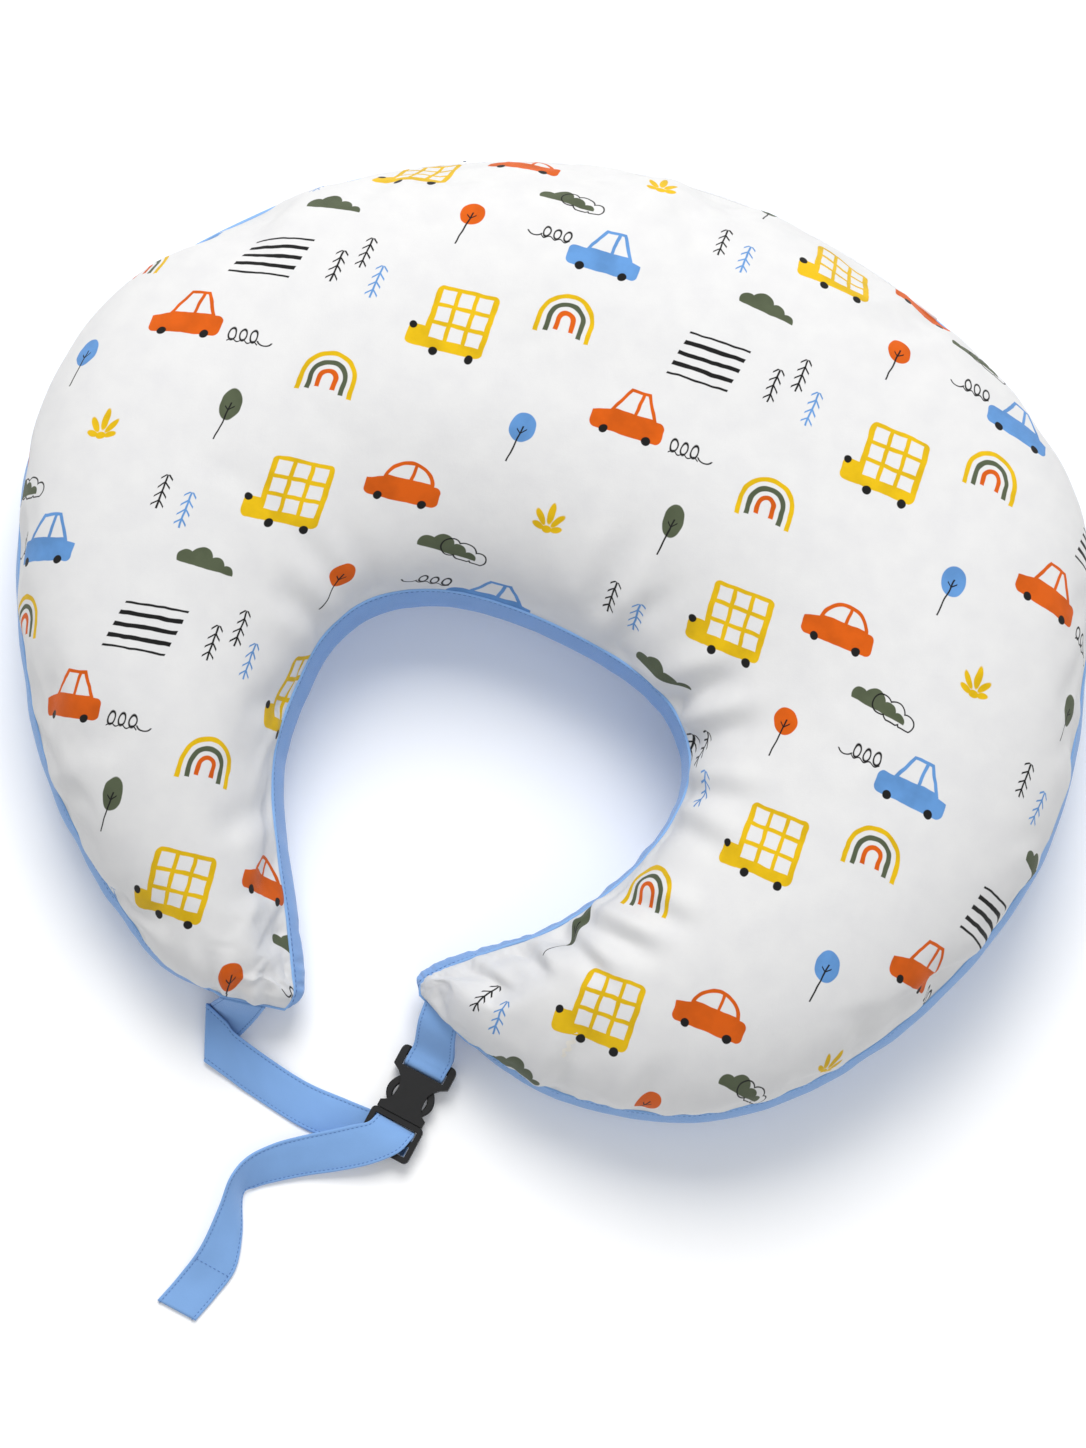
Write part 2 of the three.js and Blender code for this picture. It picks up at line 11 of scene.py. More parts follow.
import bmesh
import bpy
import numpy as np
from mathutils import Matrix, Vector


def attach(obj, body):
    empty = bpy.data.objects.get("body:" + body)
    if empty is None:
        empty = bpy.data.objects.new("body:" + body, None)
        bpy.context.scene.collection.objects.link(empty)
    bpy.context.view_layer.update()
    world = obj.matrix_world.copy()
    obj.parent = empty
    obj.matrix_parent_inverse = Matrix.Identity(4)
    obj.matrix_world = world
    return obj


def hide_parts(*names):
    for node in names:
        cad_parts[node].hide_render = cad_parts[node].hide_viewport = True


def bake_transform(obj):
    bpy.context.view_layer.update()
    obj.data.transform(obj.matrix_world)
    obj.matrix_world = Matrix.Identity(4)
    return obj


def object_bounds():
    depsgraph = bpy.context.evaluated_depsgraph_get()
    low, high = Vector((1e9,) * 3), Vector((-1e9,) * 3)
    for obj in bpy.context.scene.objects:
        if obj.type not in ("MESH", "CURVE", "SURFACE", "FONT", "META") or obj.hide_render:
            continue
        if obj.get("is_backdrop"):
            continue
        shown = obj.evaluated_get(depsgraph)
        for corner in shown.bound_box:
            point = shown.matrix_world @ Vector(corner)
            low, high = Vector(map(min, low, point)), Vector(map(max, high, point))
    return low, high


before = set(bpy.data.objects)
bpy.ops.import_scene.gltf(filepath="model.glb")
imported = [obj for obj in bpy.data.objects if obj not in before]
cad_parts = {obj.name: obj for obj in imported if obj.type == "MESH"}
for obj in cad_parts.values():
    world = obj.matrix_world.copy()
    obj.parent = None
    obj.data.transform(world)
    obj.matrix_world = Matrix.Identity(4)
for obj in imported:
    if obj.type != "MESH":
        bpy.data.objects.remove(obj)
cad_low, cad_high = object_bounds()
SCENE = bpy.context.scene
MM = 0.001
print("CAD box in mm:", [round((b - a) / MM) for a, b in zip(cad_low, cad_high)])

# %% [markdown]
# ## Camera, floor and light
# A product on a white table is seen from almost straight above with a long lens, so that its shape
# isn't distorted. One large soft lamp gives the gentle shadow below the pillow, a wide weak one fills
# the other side, and the white world keeps the shadows pale.

# %% Camera
CAMERA_TURN = math.radians(28)
CAMERA_HEIGHT = math.radians(82.5)
CAMERA_DISTANCE = 3.3
LENS = 144.4
LOOK_AT = Vector((0.0265, 0.0327, 0.075))


def away(turn, height):
    """Unit vector from the object towards a viewer at that azimuth and elevation."""
    flat = math.cos(height)
    return Vector((math.sin(turn) * flat, -math.cos(turn) * flat, math.sin(height)))


camera = bpy.data.objects.new("camera", bpy.data.cameras.new("camera"))
SCENE.collection.objects.link(camera)
camera.location = LOOK_AT + away(CAMERA_TURN, CAMERA_HEIGHT) * CAMERA_DISTANCE
camera.rotation_mode = "QUATERNION"
camera.rotation_quaternion = (camera.location - LOOK_AT).to_track_quat("Z", "Y")
camera.data.lens = LENS
camera.data.clip_end = 100
SCENE.camera = camera
print("camera", [round(c, 3) for c in camera.location])

# %% Floor and light
def lamp(name, direction, distance, size, power, colour):
    """A square soft box that faces the middle of the pillow."""
    data = bpy.data.lights.new(name, "AREA")
    data.size = size
    data.energy = power
    data.color = colour
    box = bpy.data.objects.new(name, data)
    SCENE.collection.objects.link(box)
    box.location = Vector((0.0, 0.05, 0.08)) + Vector(direction).normalized() * distance
    box.rotation_mode = "QUATERNION"
    box.rotation_quaternion = Vector(direction).to_track_quat("Z", "Y")
    return box


lamp("window_side", (-0.44, 0.84, 1.5), 3.6, 2.0, 106, (1.0, 0.99, 0.975))
lamp("room_side", (0.7, -0.5, 1.4), 3.2, 2.6, 12, (0.98, 0.99, 1.0))

world = bpy.data.worlds.new("studio")
SCENE.world = world
world.use_nodes = True
world.node_tree.nodes["Background"].inputs["Color"].default_value = (0.975, 0.985, 1.0, 1)
world.node_tree.nodes["Background"].inputs["Strength"].default_value = 0.50
SCENE.view_settings.view_transform = "Standard"

# %% [markdown]
# ## Finishes as sums
# A finish is a tree of shader nodes. Written node by node it hides its idea, so a small class wraps
# each socket: adding or multiplying two wires adds the Math node, and the code reads like the rule it
# draws. One method, `node`, makes every other kind of node.

# %% A wire that does arithmetic
class Wire:
    """A number, colour or vector on its way through a finish."""

    def __init__(self, finish, socket):
        self.finish = finish
        self.socket = socket

    def _math(self, operation, *values):
        return self.finish.node("ShaderNodeMath", {"operation": operation}, dict(enumerate(values)))

    def __add__(self, other):
        return self._math("ADD", self, other)

    def __sub__(self, other):
        return self._math("SUBTRACT", self, other)

    def __rsub__(self, other):
        return self._math("SUBTRACT", other, self)

    def __mul__(self, other):
        return self._math("MULTIPLY", self, other)

    __radd__ = __add__
    __rmul__ = __mul__

    def __abs__(self):
        return self._math("ABSOLUTE", self)

    def least(self, other):
        return self._math("MINIMUM", self, other)

    def most(self, other):
        return self._math("MAXIMUM", self, other)

    def sine(self):
        return self._math("SINE", self)

    def wrapped(self, half):
        """The same number folded into -half..half, so that a pattern repeats."""
        return self._math("WRAP", self, half, -half)


class Finish:
    """A Principled material and the tree behind it."""

    def __init__(self, name, colour, roughness, **constants):
        self.material = bpy.data.materials.new(name)
        self.material.use_nodes = True
        self.tree = self.material.node_tree
        self.shader = self.tree.nodes["Principled BSDF"]
        self.shader.inputs["Base Color"].default_value = (*colour, 1)
        self.shader.inputs["Roughness"].default_value = roughness
        for socket, value in constants.items():
            self.shader.inputs[socket.replace("_", " ")].default_value = value

    def node(self, kind, settings, values, output=0):
        """One node: its settings first, then the numbers or wires of its inputs."""
        made = self.tree.nodes.new(kind)
        for key, value in settings.items():
            setattr(made, key, value)
        for key, value in values.items():
            if isinstance(value, Wire):
                self.tree.links.new(value.socket, made.inputs[key])
            else:
                made.inputs[key].default_value = value
        return Wire(self, made.outputs[output])

    def feed(self, socket, wire):
        self.tree.links.new(wire.socket, self.shader.inputs[socket])

    def flat_cloth(self):
        """The piece's own flat coordinates, in millimetres along and across the cut cloth."""
        uv = self.node("ShaderNodeUVMap", {"uv_map": "flat"}, {})
        return self.vector("SCALE", uv, Scale=1000.0)

    def place(self):
        """Where a point of the piece is, in metres."""
        return self.node("ShaderNodeTexCoord", {}, {}, "Object")

    def vector(self, operation, *values, output=0, **named):
        return self.node(
            "ShaderNodeVectorMath", {"operation": operation}, {**dict(enumerate(values)), **named}, output
        )

    def split(self, vector):
        parts = self.node("ShaderNodeSeparateXYZ", {}, {"Vector": vector})
        return parts, Wire(self, parts.socket.node.outputs["Y"])

    def noise(self, vector, scale, detail=2.0):
        return self.node(
            "ShaderNodeTexNoise", {}, {"Vector": vector, "Scale": scale, "Detail": detail}, "Fac"
        )

    def mixed(self, amount, first, second):
        """first where amount is 0 and second where it is 1; both are colours."""
        values = {"Factor": amount, 6: first, 7: second}
        return self.node("ShaderNodeMix", {"data_type": "RGBA"}, values, 2)

    def ramp(self, wire, low, high, to_low=0.0, to_high=1.0):
        values = {"Value": wire, "From Min": low, "From Max": high, "To Min": to_low, "To Max": to_high}
        return self.node("ShaderNodeMapRange", {}, values)

    def bumped(self, height, distance, strength=1.0):
        normal = self.node(
            "ShaderNodeBump", {}, {"Height": height, "Distance": distance, "Strength": strength}
        )
        self.feed("Normal", normal)


def linear(red, green, blue):
    """The 0-255 colour of a swatch card as the linear numbers that a shader wants."""
    shares = (red / 255, green / 255, blue / 255)
    return tuple(c / 12.92 if c < 0.04045 else ((c + 0.055) / 1.055) ** 2.4 for c in shares)


def rgba(red, green, blue):
    return (*linear(red, green, blue), 1.0)


# %% The floor
floor_finish = Finish(
    "pale_floor", (0.97, 0.97, 0.97), 0.9, Emission_Color=(1, 1, 1, 1), Emission_Strength=0.05
)
bpy.ops.mesh.primitive_plane_add(size=40, location=(0, 0, -0.0006))
floor = bpy.context.object
floor.name = "floor"
floor.data.materials.append(floor_finish.material)
floor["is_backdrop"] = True
print("floor and", len(bpy.data.lights), "lamps")

# %% [markdown]
# ## Cotton
# Both cover panels and the straps are plain-weave cotton. Real weave is about 0.45 mm from thread to
# thread, so it is drawn as bump: warp and weft are two sine waves, a half thread out of step. A wider,
# very shallow noise is the crumple left by washing. Sheen is the nap that brightens cotton at its
# edges. The cloth is measured in its own flat coordinates, so threads follow the cut and not the room.

# %% Plain weave
THREAD = 0.45


def weave(finish, cloth, crumple=0.5):
    """Height of the weave and of its crumple, in millimetres."""
    u, v = finish.split(cloth)
    warp = (u * (2 * math.pi / THREAD)).sine()
    weft = (v * (2 * math.pi / THREAD)).sine()
    slub = finish.noise(cloth, 0.9, 3.0)
    wide = finish.noise(cloth, 0.045, 3.0)
    return warp * weft * 0.03 + slub * 0.06 + wide * crumple


def cotton(name, colour, depth, crumple=0.35):
    """Dyed cotton: the colour is a little lighter where a thread is fuller."""
    finish = Finish(name, colour, 0.88, Sheen_Weight=0.25, Sheen_Roughness=0.45, Specular_IOR_Level=0.25)
    cloth = finish.flat_cloth()
    shade = finish.ramp(finish.noise(cloth, 0.05, 4.0) + finish.noise(cloth, 2.2, 2.0) * 0.5, 0.45, 1.05)
    darker = tuple(c * (1 - depth) for c in colour)
    finish.feed("Base Color", finish.mixed(shade, (*darker, 1), (*colour, 1)))
    finish.feed("Roughness", finish.ramp(shade, 0, 1, 0.92, 0.82))
    finish.bumped(weave(finish, cloth, crumple) * 0.001, 1.0)
    return finish.material


BLUE = linear(131, 173, 227)
blue_cotton = cotton("blue_cotton", BLUE, 0.07)
# a lighter copy of the blue cotton for the seam's lip: a painted highlight
blue_fold_painted_highlight = cotton("blue_cotton_fold_painted_highlight", linear(140, 183, 236), 0.06, 0.2)
ticking = cotton("ticking", linear(233, 229, 220), 0.06)
zip_cloth = cotton("zip_cloth", linear(112, 152, 208), 0.12, 0.1)
white_thread = cotton("white_thread", linear(238, 240, 244), 0.08, 0.05)
blue_thread = cotton("blue_thread", linear(92, 132, 190), 0.10, 0.05)
print("cottons made")

# %% Filling, plastic and metal
fibre = Finish("fibre", linear(248, 248, 246), 1.0, Sheen_Weight=0.5, Specular_IOR_Level=0.1)
tuft = fibre.noise(fibre.place(), 160.0, 6.0)
fibre.feed("Base Color", fibre.mixed(tuft, rgba(226, 226, 224), rgba(252, 252, 250)))
fibre.bumped(tuft * 0.004, 1.0)

black_plastic = Finish("black_plastic", linear(13, 13, 14), 0.42, Specular_IOR_Level=0.3)
grain = black_plastic.noise(black_plastic.place(), 2600.0, 2.0)
blush = black_plastic.noise(black_plastic.place(), 90.0, 3.0)
black_plastic.feed("Base Color", black_plastic.mixed(blush, rgba(8, 8, 9), rgba(17, 17, 19)))
black_plastic.feed("Roughness", black_plastic.ramp(blush + grain * 0.4, 0.3, 1.0, 0.34, 0.52))
black_plastic.bumped(grain * 0.00006, 1.0)

zip_nylon = Finish("zip_nylon", linear(122, 162, 216), 0.4, Specular_IOR_Level=0.5)
nylon_tone = zip_nylon.noise(zip_nylon.place(), 700.0)
zip_nylon.feed("Base Color", zip_nylon.mixed(nylon_tone, rgba(104, 145, 204), rgba(136, 176, 226)))
zip_nylon.feed("Roughness", zip_nylon.ramp(nylon_tone, 0.2, 0.8, 0.34, 0.5))

zip_metal = Finish("zip_metal", linear(188, 190, 194), 0.32, Metallic=1.0)
brushed = zip_metal.noise(zip_metal.place(), 1800.0, 4.0)
worn = zip_metal.noise(zip_metal.place(), 240.0, 2.0)
zip_metal.feed("Base Color", zip_metal.mixed(worn, rgba(168, 170, 174), rgba(204, 206, 208)))
zip_metal.feed("Roughness", zip_metal.ramp(brushed + worn, 0.6, 1.4, 0.24, 0.44))
zip_metal.bumped(brushed * 0.00003, 1.0)
print(len(bpy.data.materials), "finishes")

# %% [markdown]
# ## The printed cotton
# The white panel is printed with small nursery motifs in five inks, repeated over a 250 by 220 mm
# tile. An image would do it, but a formula stays sharp at any distance and its inks can be repainted.
# Each motif is a signed distance: a number that is negative inside its outline. Distances of one ink
# are joined with a minimum, and an ink shows where its distance is below zero. Every motif folds the
# cloth's coordinates round its own centre, so the repeat never cuts one in two.

# %% Shapes for the print
TILE_X, TILE_Y = 250.0, 220.0
PRINT_TURN = math.radians(10)
PRINT_SWAY = 0.55  # the print turns slowly from one arm to the other
PRINT_START = (-229.0, 201.0)

printed = Finish(
    "printed_cotton", linear(222, 222, 223), 0.86,
    Sheen_Weight=0.1, Sheen_Roughness=0.5, Specular_IOR_Level=0.22,
)
cloth = printed.flat_cloth()
wobble = printed.node("ShaderNodeTexNoise", {}, {"Vector": cloth, "Scale": 0.11, "Detail": 1.0}, "Color")
centred = printed.vector("SUBTRACT", cloth, (0.8, 0.8, 0))
shaky = printed.vector("MULTIPLY_ADD", wobble, (1.6, 1.6, 0), centred)
turned = printed.node(
    "ShaderNodeVectorRotate", {"rotation_type": "Z_AXIS"},
    {"Vector": shaky, "Center": (*PRINT_START, 0), "Angle": -PRINT_TURN}, "Vector",
)
print_u, print_v = printed.split(printed.vector("SUBTRACT", turned, (*PRINT_START, 0)))
print_v = print_v + (print_u - 230.0) * (print_u - 230.0) * (PRINT_SWAY / 2000)


class Motif:
    """Coordinates round one motif's centre, in millimetres, and the shapes drawn in them."""

    def __init__(self, x, y, turn=0.0):
        u = (print_u - x).wrapped(TILE_X / 2)
        v = (print_v - y).wrapped(TILE_Y / 2)
        if turn:
            c, s = math.cos(math.radians(turn)), math.sin(math.radians(turn))
            u, v = u * c + v * s, v * c - u * s
        self.x, self.y = u, v
        self.point = printed.node("ShaderNodeCombineXYZ", {}, {"X": u, "Y": v})

    def disc(self, x, y, radius):
        return printed.vector("DISTANCE", self.point, (x, y, 0), output="Value") - radius

    def ring(self, x, y, radius, pen):
        return abs(self.disc(x, y, radius)) - pen

    def oval(self, x, y, wide, high):
        near = printed.vector("SUBTRACT", self.point, (x, y, 0))
        scaled = printed.vector("MULTIPLY", near, (1, wide / high, 0))
        return printed.vector("LENGTH", scaled, output="Value") - wide

    def box(self, x, y, wide, high, radius=0.6):
        near = printed.vector("ABSOLUTE", printed.vector("SUBTRACT", self.point, (x, y, 0)))
        past = printed.vector("SUBTRACT", near, (wide - radius, high - radius, 0))
        outside = printed.vector("MAXIMUM", past, (0, 0, 0))
        return printed.vector("LENGTH", outside, output="Value") - radius


def joined(*shapes):
    total = shapes[0]
    for shape in shapes[1:]:
        total = total.least(shape)
    return total


def without(shape, hole):
    return shape.most(0 - hole)


inks = {"green": [], "yellow": [], "orange": [], "blue": [], "black": []}

# %% Motifs
def stripes(x, y):
    m = Motif(x, y)
    lean = m.x - m.y * 0.22
    bars = abs(m.y.wrapped(3.3)) - 1.25
    inks["black"].append(bars.most(abs(lean) - 17.5).most(abs(m.y) - 13.2))


def car(x, y, ink, dome=False, flip=1):
    """A body with a cabin frame, two windows and two wheels."""
    m = Motif(x, y)
    side = m.x * flip
    body = m.box(0, -6, 20.5, 6.2, 3.4).most(side * -0.28 + m.y - 3.2)
    if dome:
        cabin = m.disc(2, -3, 14.5).most(-2.5 - m.y)
        glass = m.disc(2, -3, 12.4).most(1.2 - m.y)
    else:
        slope = abs(m.x - 2) + m.y * 0.52
        cabin = (slope - 13.2).most(m.y - 14.5).most(-3 - m.y)
        glass = (slope - 11.0).most(m.y - 12.6).most(1.0 - m.y)
    pillar = abs(m.x - 3 + m.y * -0.1) - 0.95
    inks[ink].append(joined(body, without(cabin, without(glass, pillar))))
    inks["black"].append(joined(m.disc(-12, -11.6, 2.5), m.disc(12.5, -11.6, 2.5)))


def smoke(x, y, flip=1):
    """A pen line that loops three times and ends in a tail."""
    m = Motif(x, y)
    loops = joined(*(m.oval(x * flip, 1, 1.9, 3.4) for x in (-8, -2, 4)))
    thread = abs(m.y + 2.6 + (m.x * 1.05).sine() * 0.8) - 0.42
    tail = m.ring(10.5 * flip, 1.2, 4.6, 0.42).most(m.y + 1.0)
    inks["black"].append(joined(abs(loops) - 0.42, thread.most(abs(m.x + 1.5 * flip) - 8.5), tail))


def bus(x, y):
    m = Motif(x, y)
    panes = m.box(4, 3, 15.2, 15.2, 1)
    pitch_x = (m.x - 4).wrapped(5.1)
    pitch_y = (m.y - 3).wrapped(5.1)
    square = (abs(pitch_x).most(abs(pitch_y)) - 3.9).most(panes)
    body = joined(m.box(4, 1, 17.5, 18.5, 3.5), m.box(-15, -11.5, 7.2, 6.2, 3.6))
    inks["yellow"].append(without(body, square))
    inks["black"].append(joined(m.disc(-5, -18.5, 2.5), m.disc(15, -18.5, 2.5), m.disc(-20, -6.3, 2.2)))


def rainbow(x, y):
    m = Motif(x, y)
    upper = printed.node("ShaderNodeCombineXYZ", {}, {"X": m.x, "Y": m.y.most(0)})
    radius = printed.vector("LENGTH", upper, output="Value")
    for ink, size, foot in (("yellow", 14.5, 9.5), ("green", 9.4, 8.0), ("orange", 4.4, 6.0)):
        inks[ink].append((abs(radius - size) - 1.35).most(0 - m.y - foot))


def pine(x, y, ink):
    m = Motif(x, y, -4)
    twigs = abs((m.y + abs(m.x)).wrapped(2.6)) - 0.62
    crown = twigs.most(abs(m.x) - 3.4).most(m.y - 9.8)
    trunk = (abs(m.x) - 0.55).most(m.y - 9.5)
    inks[ink].append(joined(crown, trunk).most(-10.2 - m.y))


def tree(x, y, ink, wide, high):
    m = Motif(x, y)
    inks[ink].append(m.oval(0, 4, wide, high))
    trunk = (abs(m.x + m.y * -0.16 + 0.4) - 0.45).most(m.y - 5).most(-17 - m.y)
    twig = (abs(m.y - abs(m.x + 0.3) - 0.5) - 0.45).most(abs(m.x) - 2.6)
    inks["black"].append(joined(trunk, twig))


def bush(x, y, cloud=False):
    m = Motif(x, y, -6)
    clumps = joined(m.disc(-11, 0, 5), m.disc(-3, 2, 6.4), m.disc(6, 0, 5), m.disc(13, -2, 4))
    inks["green"].append(clumps.most(-2.5 - m.y))
    if cloud:
        puffs = joined(m.disc(2, 2, 5.4), m.disc(10, 1, 6.2), m.disc(18, -1, 4.6)).most(-4.5 - m.y)
        inks["black"].append(abs(puffs) - 0.42)


def sprig(x, y):
    """Five leaves that spread from one foot; the left ones mirror the right ones."""
    m = Motif(x, y)
    leaves = [m.oval(0.3, 3.5, 2.1, 6.6)]
    mirrored = printed.node("ShaderNodeCombineXYZ", {}, {"X": abs(m.x), "Y": m.y + 7})
    for spread, reach, long in ((34, 8.6, 5.2), (68, 5.6, 3.6)):
        leaf = printed.node(
            "ShaderNodeVectorRotate", {"rotation_type": "Z_AXIS"},
            {"Vector": mirrored, "Angle": math.radians(spread)},
        )
        near = printed.vector("MULTIPLY", printed.vector("SUBTRACT", leaf, (0, reach, 0)), (1, 1.8 / long, 0))
        leaves.append(printed.vector("LENGTH", near, output="Value") - 1.8)
    inks["yellow"].append(joined(*leaves, m.oval(0, -6, 3.0, 2.2)))


stripes(0, 0)
car(-32, -42, "orange")
smoke(4, -52)
bus(109, -19)
rainbow(168, -2)
rainbow(54, -66)
tree(8, -95, "green", 5.6, 9.4)
for spot_x, spot_y, ink in ((38, -1, "black"), (51, 10, "black"), (62, -6, "blue")):
    pine(spot_x, spot_y, ink)
tree(99, 43, "orange", 6.8, 7.4)
car(177, 43, "blue", flip=-1)
smoke(146, 46, flip=-1)
car(112, -112, "orange", dome=True)
tree(164, -70, "blue", 7.0, 8.6)
bus(53, -133)
pine(-13, -145, "black")
pine(2, -153, "blue")
bush(21, -180)
sprig(193, -112)
bush(145, -146, cloud=True)
print({ink: len(shapes) for ink, shapes in inks.items()}, "printed shapes")

# %% Inks on the white ground
INKS = {
    "green": rgba(84, 93, 70), "yellow": rgba(226, 184, 4), "orange": rgba(214, 92, 2),
    "blue": rgba(98, 150, 210), "black": rgba(20, 20, 20),
}
blotch = printed.noise(cloth, 0.06, 3.0)
ground = printed.mixed(printed.ramp(blotch, 0.3, 0.7), rgba(219, 219, 220), rgba(224, 224, 224))
colour = ground
for ink, shapes in inks.items():
    distance = joined(*shapes)
    mask = printed.ramp(distance, 0.18, -0.18)
    deep = tuple(c * 0.82 for c in INKS[ink][:3]) + (1.0,)
    streaky = printed.mixed(printed.ramp(blotch, 0.35, 0.6), deep, INKS[ink])
    colour = printed.mixed(mask, colour, streaky)
printed.feed("Base Color", colour)
printed.feed("Roughness", printed.ramp(blotch, 0.2, 0.8, 0.9, 0.8))
printed.bumped(weave(printed, cloth, 0.3) * 0.001, 1.0)
print("print with", len(printed.tree.nodes), "nodes")

# %% [markdown]
# ## The stuffed shape
# The pillow is two cotton panels sewn together round a C and stuffed hard. The frame gives where the
# outer and inner edges run and how thick it is at each place along the C. A section across it is a
# superellipse: nearly round above the seam, fuller and pressed flat below it. A smooth curve through
# the given stations makes every section, so the surface is as fine as wanted.

# %% Stations along the C
SHIFT = np.array([30.55, -13.29])  # from the crown's centre to the frame's, in millimetres
CROWN = 365  # radius of the outer seam round the crown
SEAM_SHARE = 0.58  # the seam's height as a share of the thickness
TIP_ROUNDING = 55  # how far from its end a tip starts to round off
TIP_CORNER = 26  # how far from its end a tip's inner corner starts to round
FULL_ABOVE, FULL_BELOW = 2.2, 2.8  # superellipse exponents: 2 is an ellipse, more is squarer
CORNER_CUT = 0.32  # how much of the half width that corner loses at the very end
ROW_CROWDING, COLUMN_CROWDING = 0.55, 0.35  # 0 spaces the grid evenly, more crowds it at its edges
PRESSED = 1.17  # the lower half is drawn this much too deep, then cut flat at the floor
SWELL_INSIDE, SWELL_OUTSIDE = -8, 4  # the back panel's swell past the inner and the outer seam
ZIP_FROM, ZIP_TO = 125, 77
SLOT_PAST, SLOT_CLOSES = 2.5, 3.0  # degrees that the slot runs past the zip, and closes over


def on_crown(degrees):
    angle = math.radians(degrees)
    return CROWN * math.cos(angle), CROWN * math.sin(angle)


# outer edge, inner edge and thickness, in millimetres about the crown's centre
PLAN = [
    ((-95, -174), (-53, -162), 62), ((-150, -166), (-78, -124), 84),
    ((-250, -98), (-127, -50), 124), ((-326, 22), (-138, 10), 144),
    ((-335, 135), (-133, 44), 152), (on_crown(140), (-117, 68), 152),
    (on_crown(125), (-88, 86), 152), (on_crown(110), (-52, 95), 152),
    (on_crown(95), (-12, 98), 152), (on_crown(80), (27, 96), 152),
    (on_crown(66), (57, 87), 152), ((214, 286), (79, 67), 152),
    ((256, 208), (87, 40), 150), ((279, 118), (83, 4), 145),
    ((268, 28), (70, -31), 138), ((232, -52), (53, -58), 126),
    ((178, -107), (36, -75), 108), ((105, -132), (14, -97), 80),
    ((41, -131), (-2, -118), 58),
]


def curve_through(points):
    """The standard Catmull-Rom curve through evenly timed points."""
    p = np.array(points, float)
    p = np.vstack([2 * p[0] - p[1], p, 2 * p[-1] - p[-2]])

    def at(t):
        spot = np.clip(np.asarray(t, float), 0, 1) * (len(p) - 3)
        i = np.minimum(spot.astype(int), len(p) - 4)
        f = (spot - i)[..., None]
        a, b, c, d = (p[i + k] for k in range(4))
        return b + 0.5 * f * (c - a + f * (2 * a - 5 * b + 4 * c - d + f * (3 * (b - c) + d - a)))

    return at


outer_edge = curve_through([row[0] for row in PLAN])
inner_edge = curve_through([row[1] for row in PLAN])
loft_at = curve_through([[row[2]] for row in PLAN])
fine = np.linspace(0, 1, 801)
middle_line = (outer_edge(fine) + inner_edge(fine)) / 2
ARM_LENGTH = float(np.linalg.norm(np.diff(middle_line, axis=0), axis=1).sum())
print("length along the middle of the C:", round(ARM_LENGTH), "mm")


# %% Sections across it
def smooth(value):
    value = np.clip(value, 0, 1)
    return value * value * (3 - 2 * value)


def power(value, exponent):
    return np.sign(value) * np.abs(value) ** exponent


def crowded(even, amount):
    """Steps from 0 to 1 that are closer together at both ends."""
    return even - amount * np.sin(2 * np.pi * even) / (2 * np.pi)


def surface(upper, rows, columns, side=0.0, face=0.0, slot=10.0):
    """Points of the upper or lower surface in metres: rows along the C, columns from inside to outside."""
    even = np.linspace(0, 1, rows)
    margin = side / ARM_LENGTH
    t = margin + (1 - 2 * margin) * crowded(even, ROW_CROWDING)
    outer, inner = outer_edge(t), inner_edge(t)
    across = (outer - inner) / np.linalg.norm(outer - inner, axis=1, keepdims=True)
    half = np.linalg.norm(outer - inner, axis=1, keepdims=True) / 2 - side
    near_end = np.clip(1 - np.minimum(t, 1 - t) * ARM_LENGTH / TIP_CORNER, 0, 1)[:, None]
    loft = loft_at(t)
    from_end = np.maximum(0, np.minimum(t, 1 - t) * ARM_LENGTH - side)[:, None]
    rounding = np.sqrt(1 - (1 - np.minimum(1, from_end / TIP_ROUNDING)) ** 2)
    seam = loft * SEAM_SHARE + (0.2 if upper else -0.2)
    degrees = np.degrees(np.arctan2(outer[:, 1:], outer[:, :1]))
    past_ends = np.minimum(ZIP_FROM + SLOT_PAST - degrees, degrees - ZIP_TO + SLOT_PAST)
    opening = smooth(past_ends / SLOT_CLOSES)
    fullness = FULL_ABOVE if upper else FULL_BELOW
    tall = np.maximum((loft - seam - face) * rounding if upper else seam * PRESSED, 1e-6)
    skipped = np.arcsin(np.clip(slot / 2 / tall, 0, 0.9) ** (fullness / 2)) * opening
    share = crowded(np.linspace(0, 1, columns)[None, :], COLUMN_CROWDING)
    angle = share * (np.pi - skipped)
    cosine, sine = np.cos(angle), np.abs(np.sin(angle))
    if upper:
        reach = -power(cosine, 2 / fullness) * half
        height = seam + sine ** (2 / fullness) * (loft - seam - face) * rounding
    else:
        depth = np.minimum(1, PRESSED * sine ** (2 / fullness))
        bulge = np.where(cosine > 0, SWELL_INSIDE, SWELL_OUTSIDE) * np.sin(np.pi * depth) * rounding
        reach = -power(cosine, 2 / fullness) * half + bulge
        height = seam - (seam - face) * depth * rounding
    inner_cut = 1 - CORNER_CUT * near_end**2.5
    reach = np.where(reach < 0, reach * inner_cut, reach)
    plan = (outer + inner)[:, None, :] / 2 + across[:, None, :] * reach[..., None] + SHIFT
    return np.dstack([plan, height]) * MM


def flat_coordinates(points):
    """Each point's place on the cut cloth: measured along the cloth from the ridge of its row."""
    ridge = points.shape[1] // 2
    steps = np.linalg.norm(np.diff(points, axis=1), axis=2)
    along = np.concatenate([np.zeros((len(points), 1)), np.cumsum(steps, axis=1)], axis=1)
    along -= along[:, ridge : ridge + 1]
    across = points[:, -1, :2] - points[:, 0, :2]
    across /= np.linalg.norm(across, axis=1, keepdims=True)
    return points[:, ridge : ridge + 1, :2] + across[:, None, :] * along[..., None]


ROWS, COLUMNS = 221, 45
top = surface(True, ROWS, COLUMNS)
base = surface(False, ROWS, COLUMNS)
top_flat, base_flat = flat_coordinates(top), flat_coordinates(base)
print("rest shape:", top.shape, "points a panel")


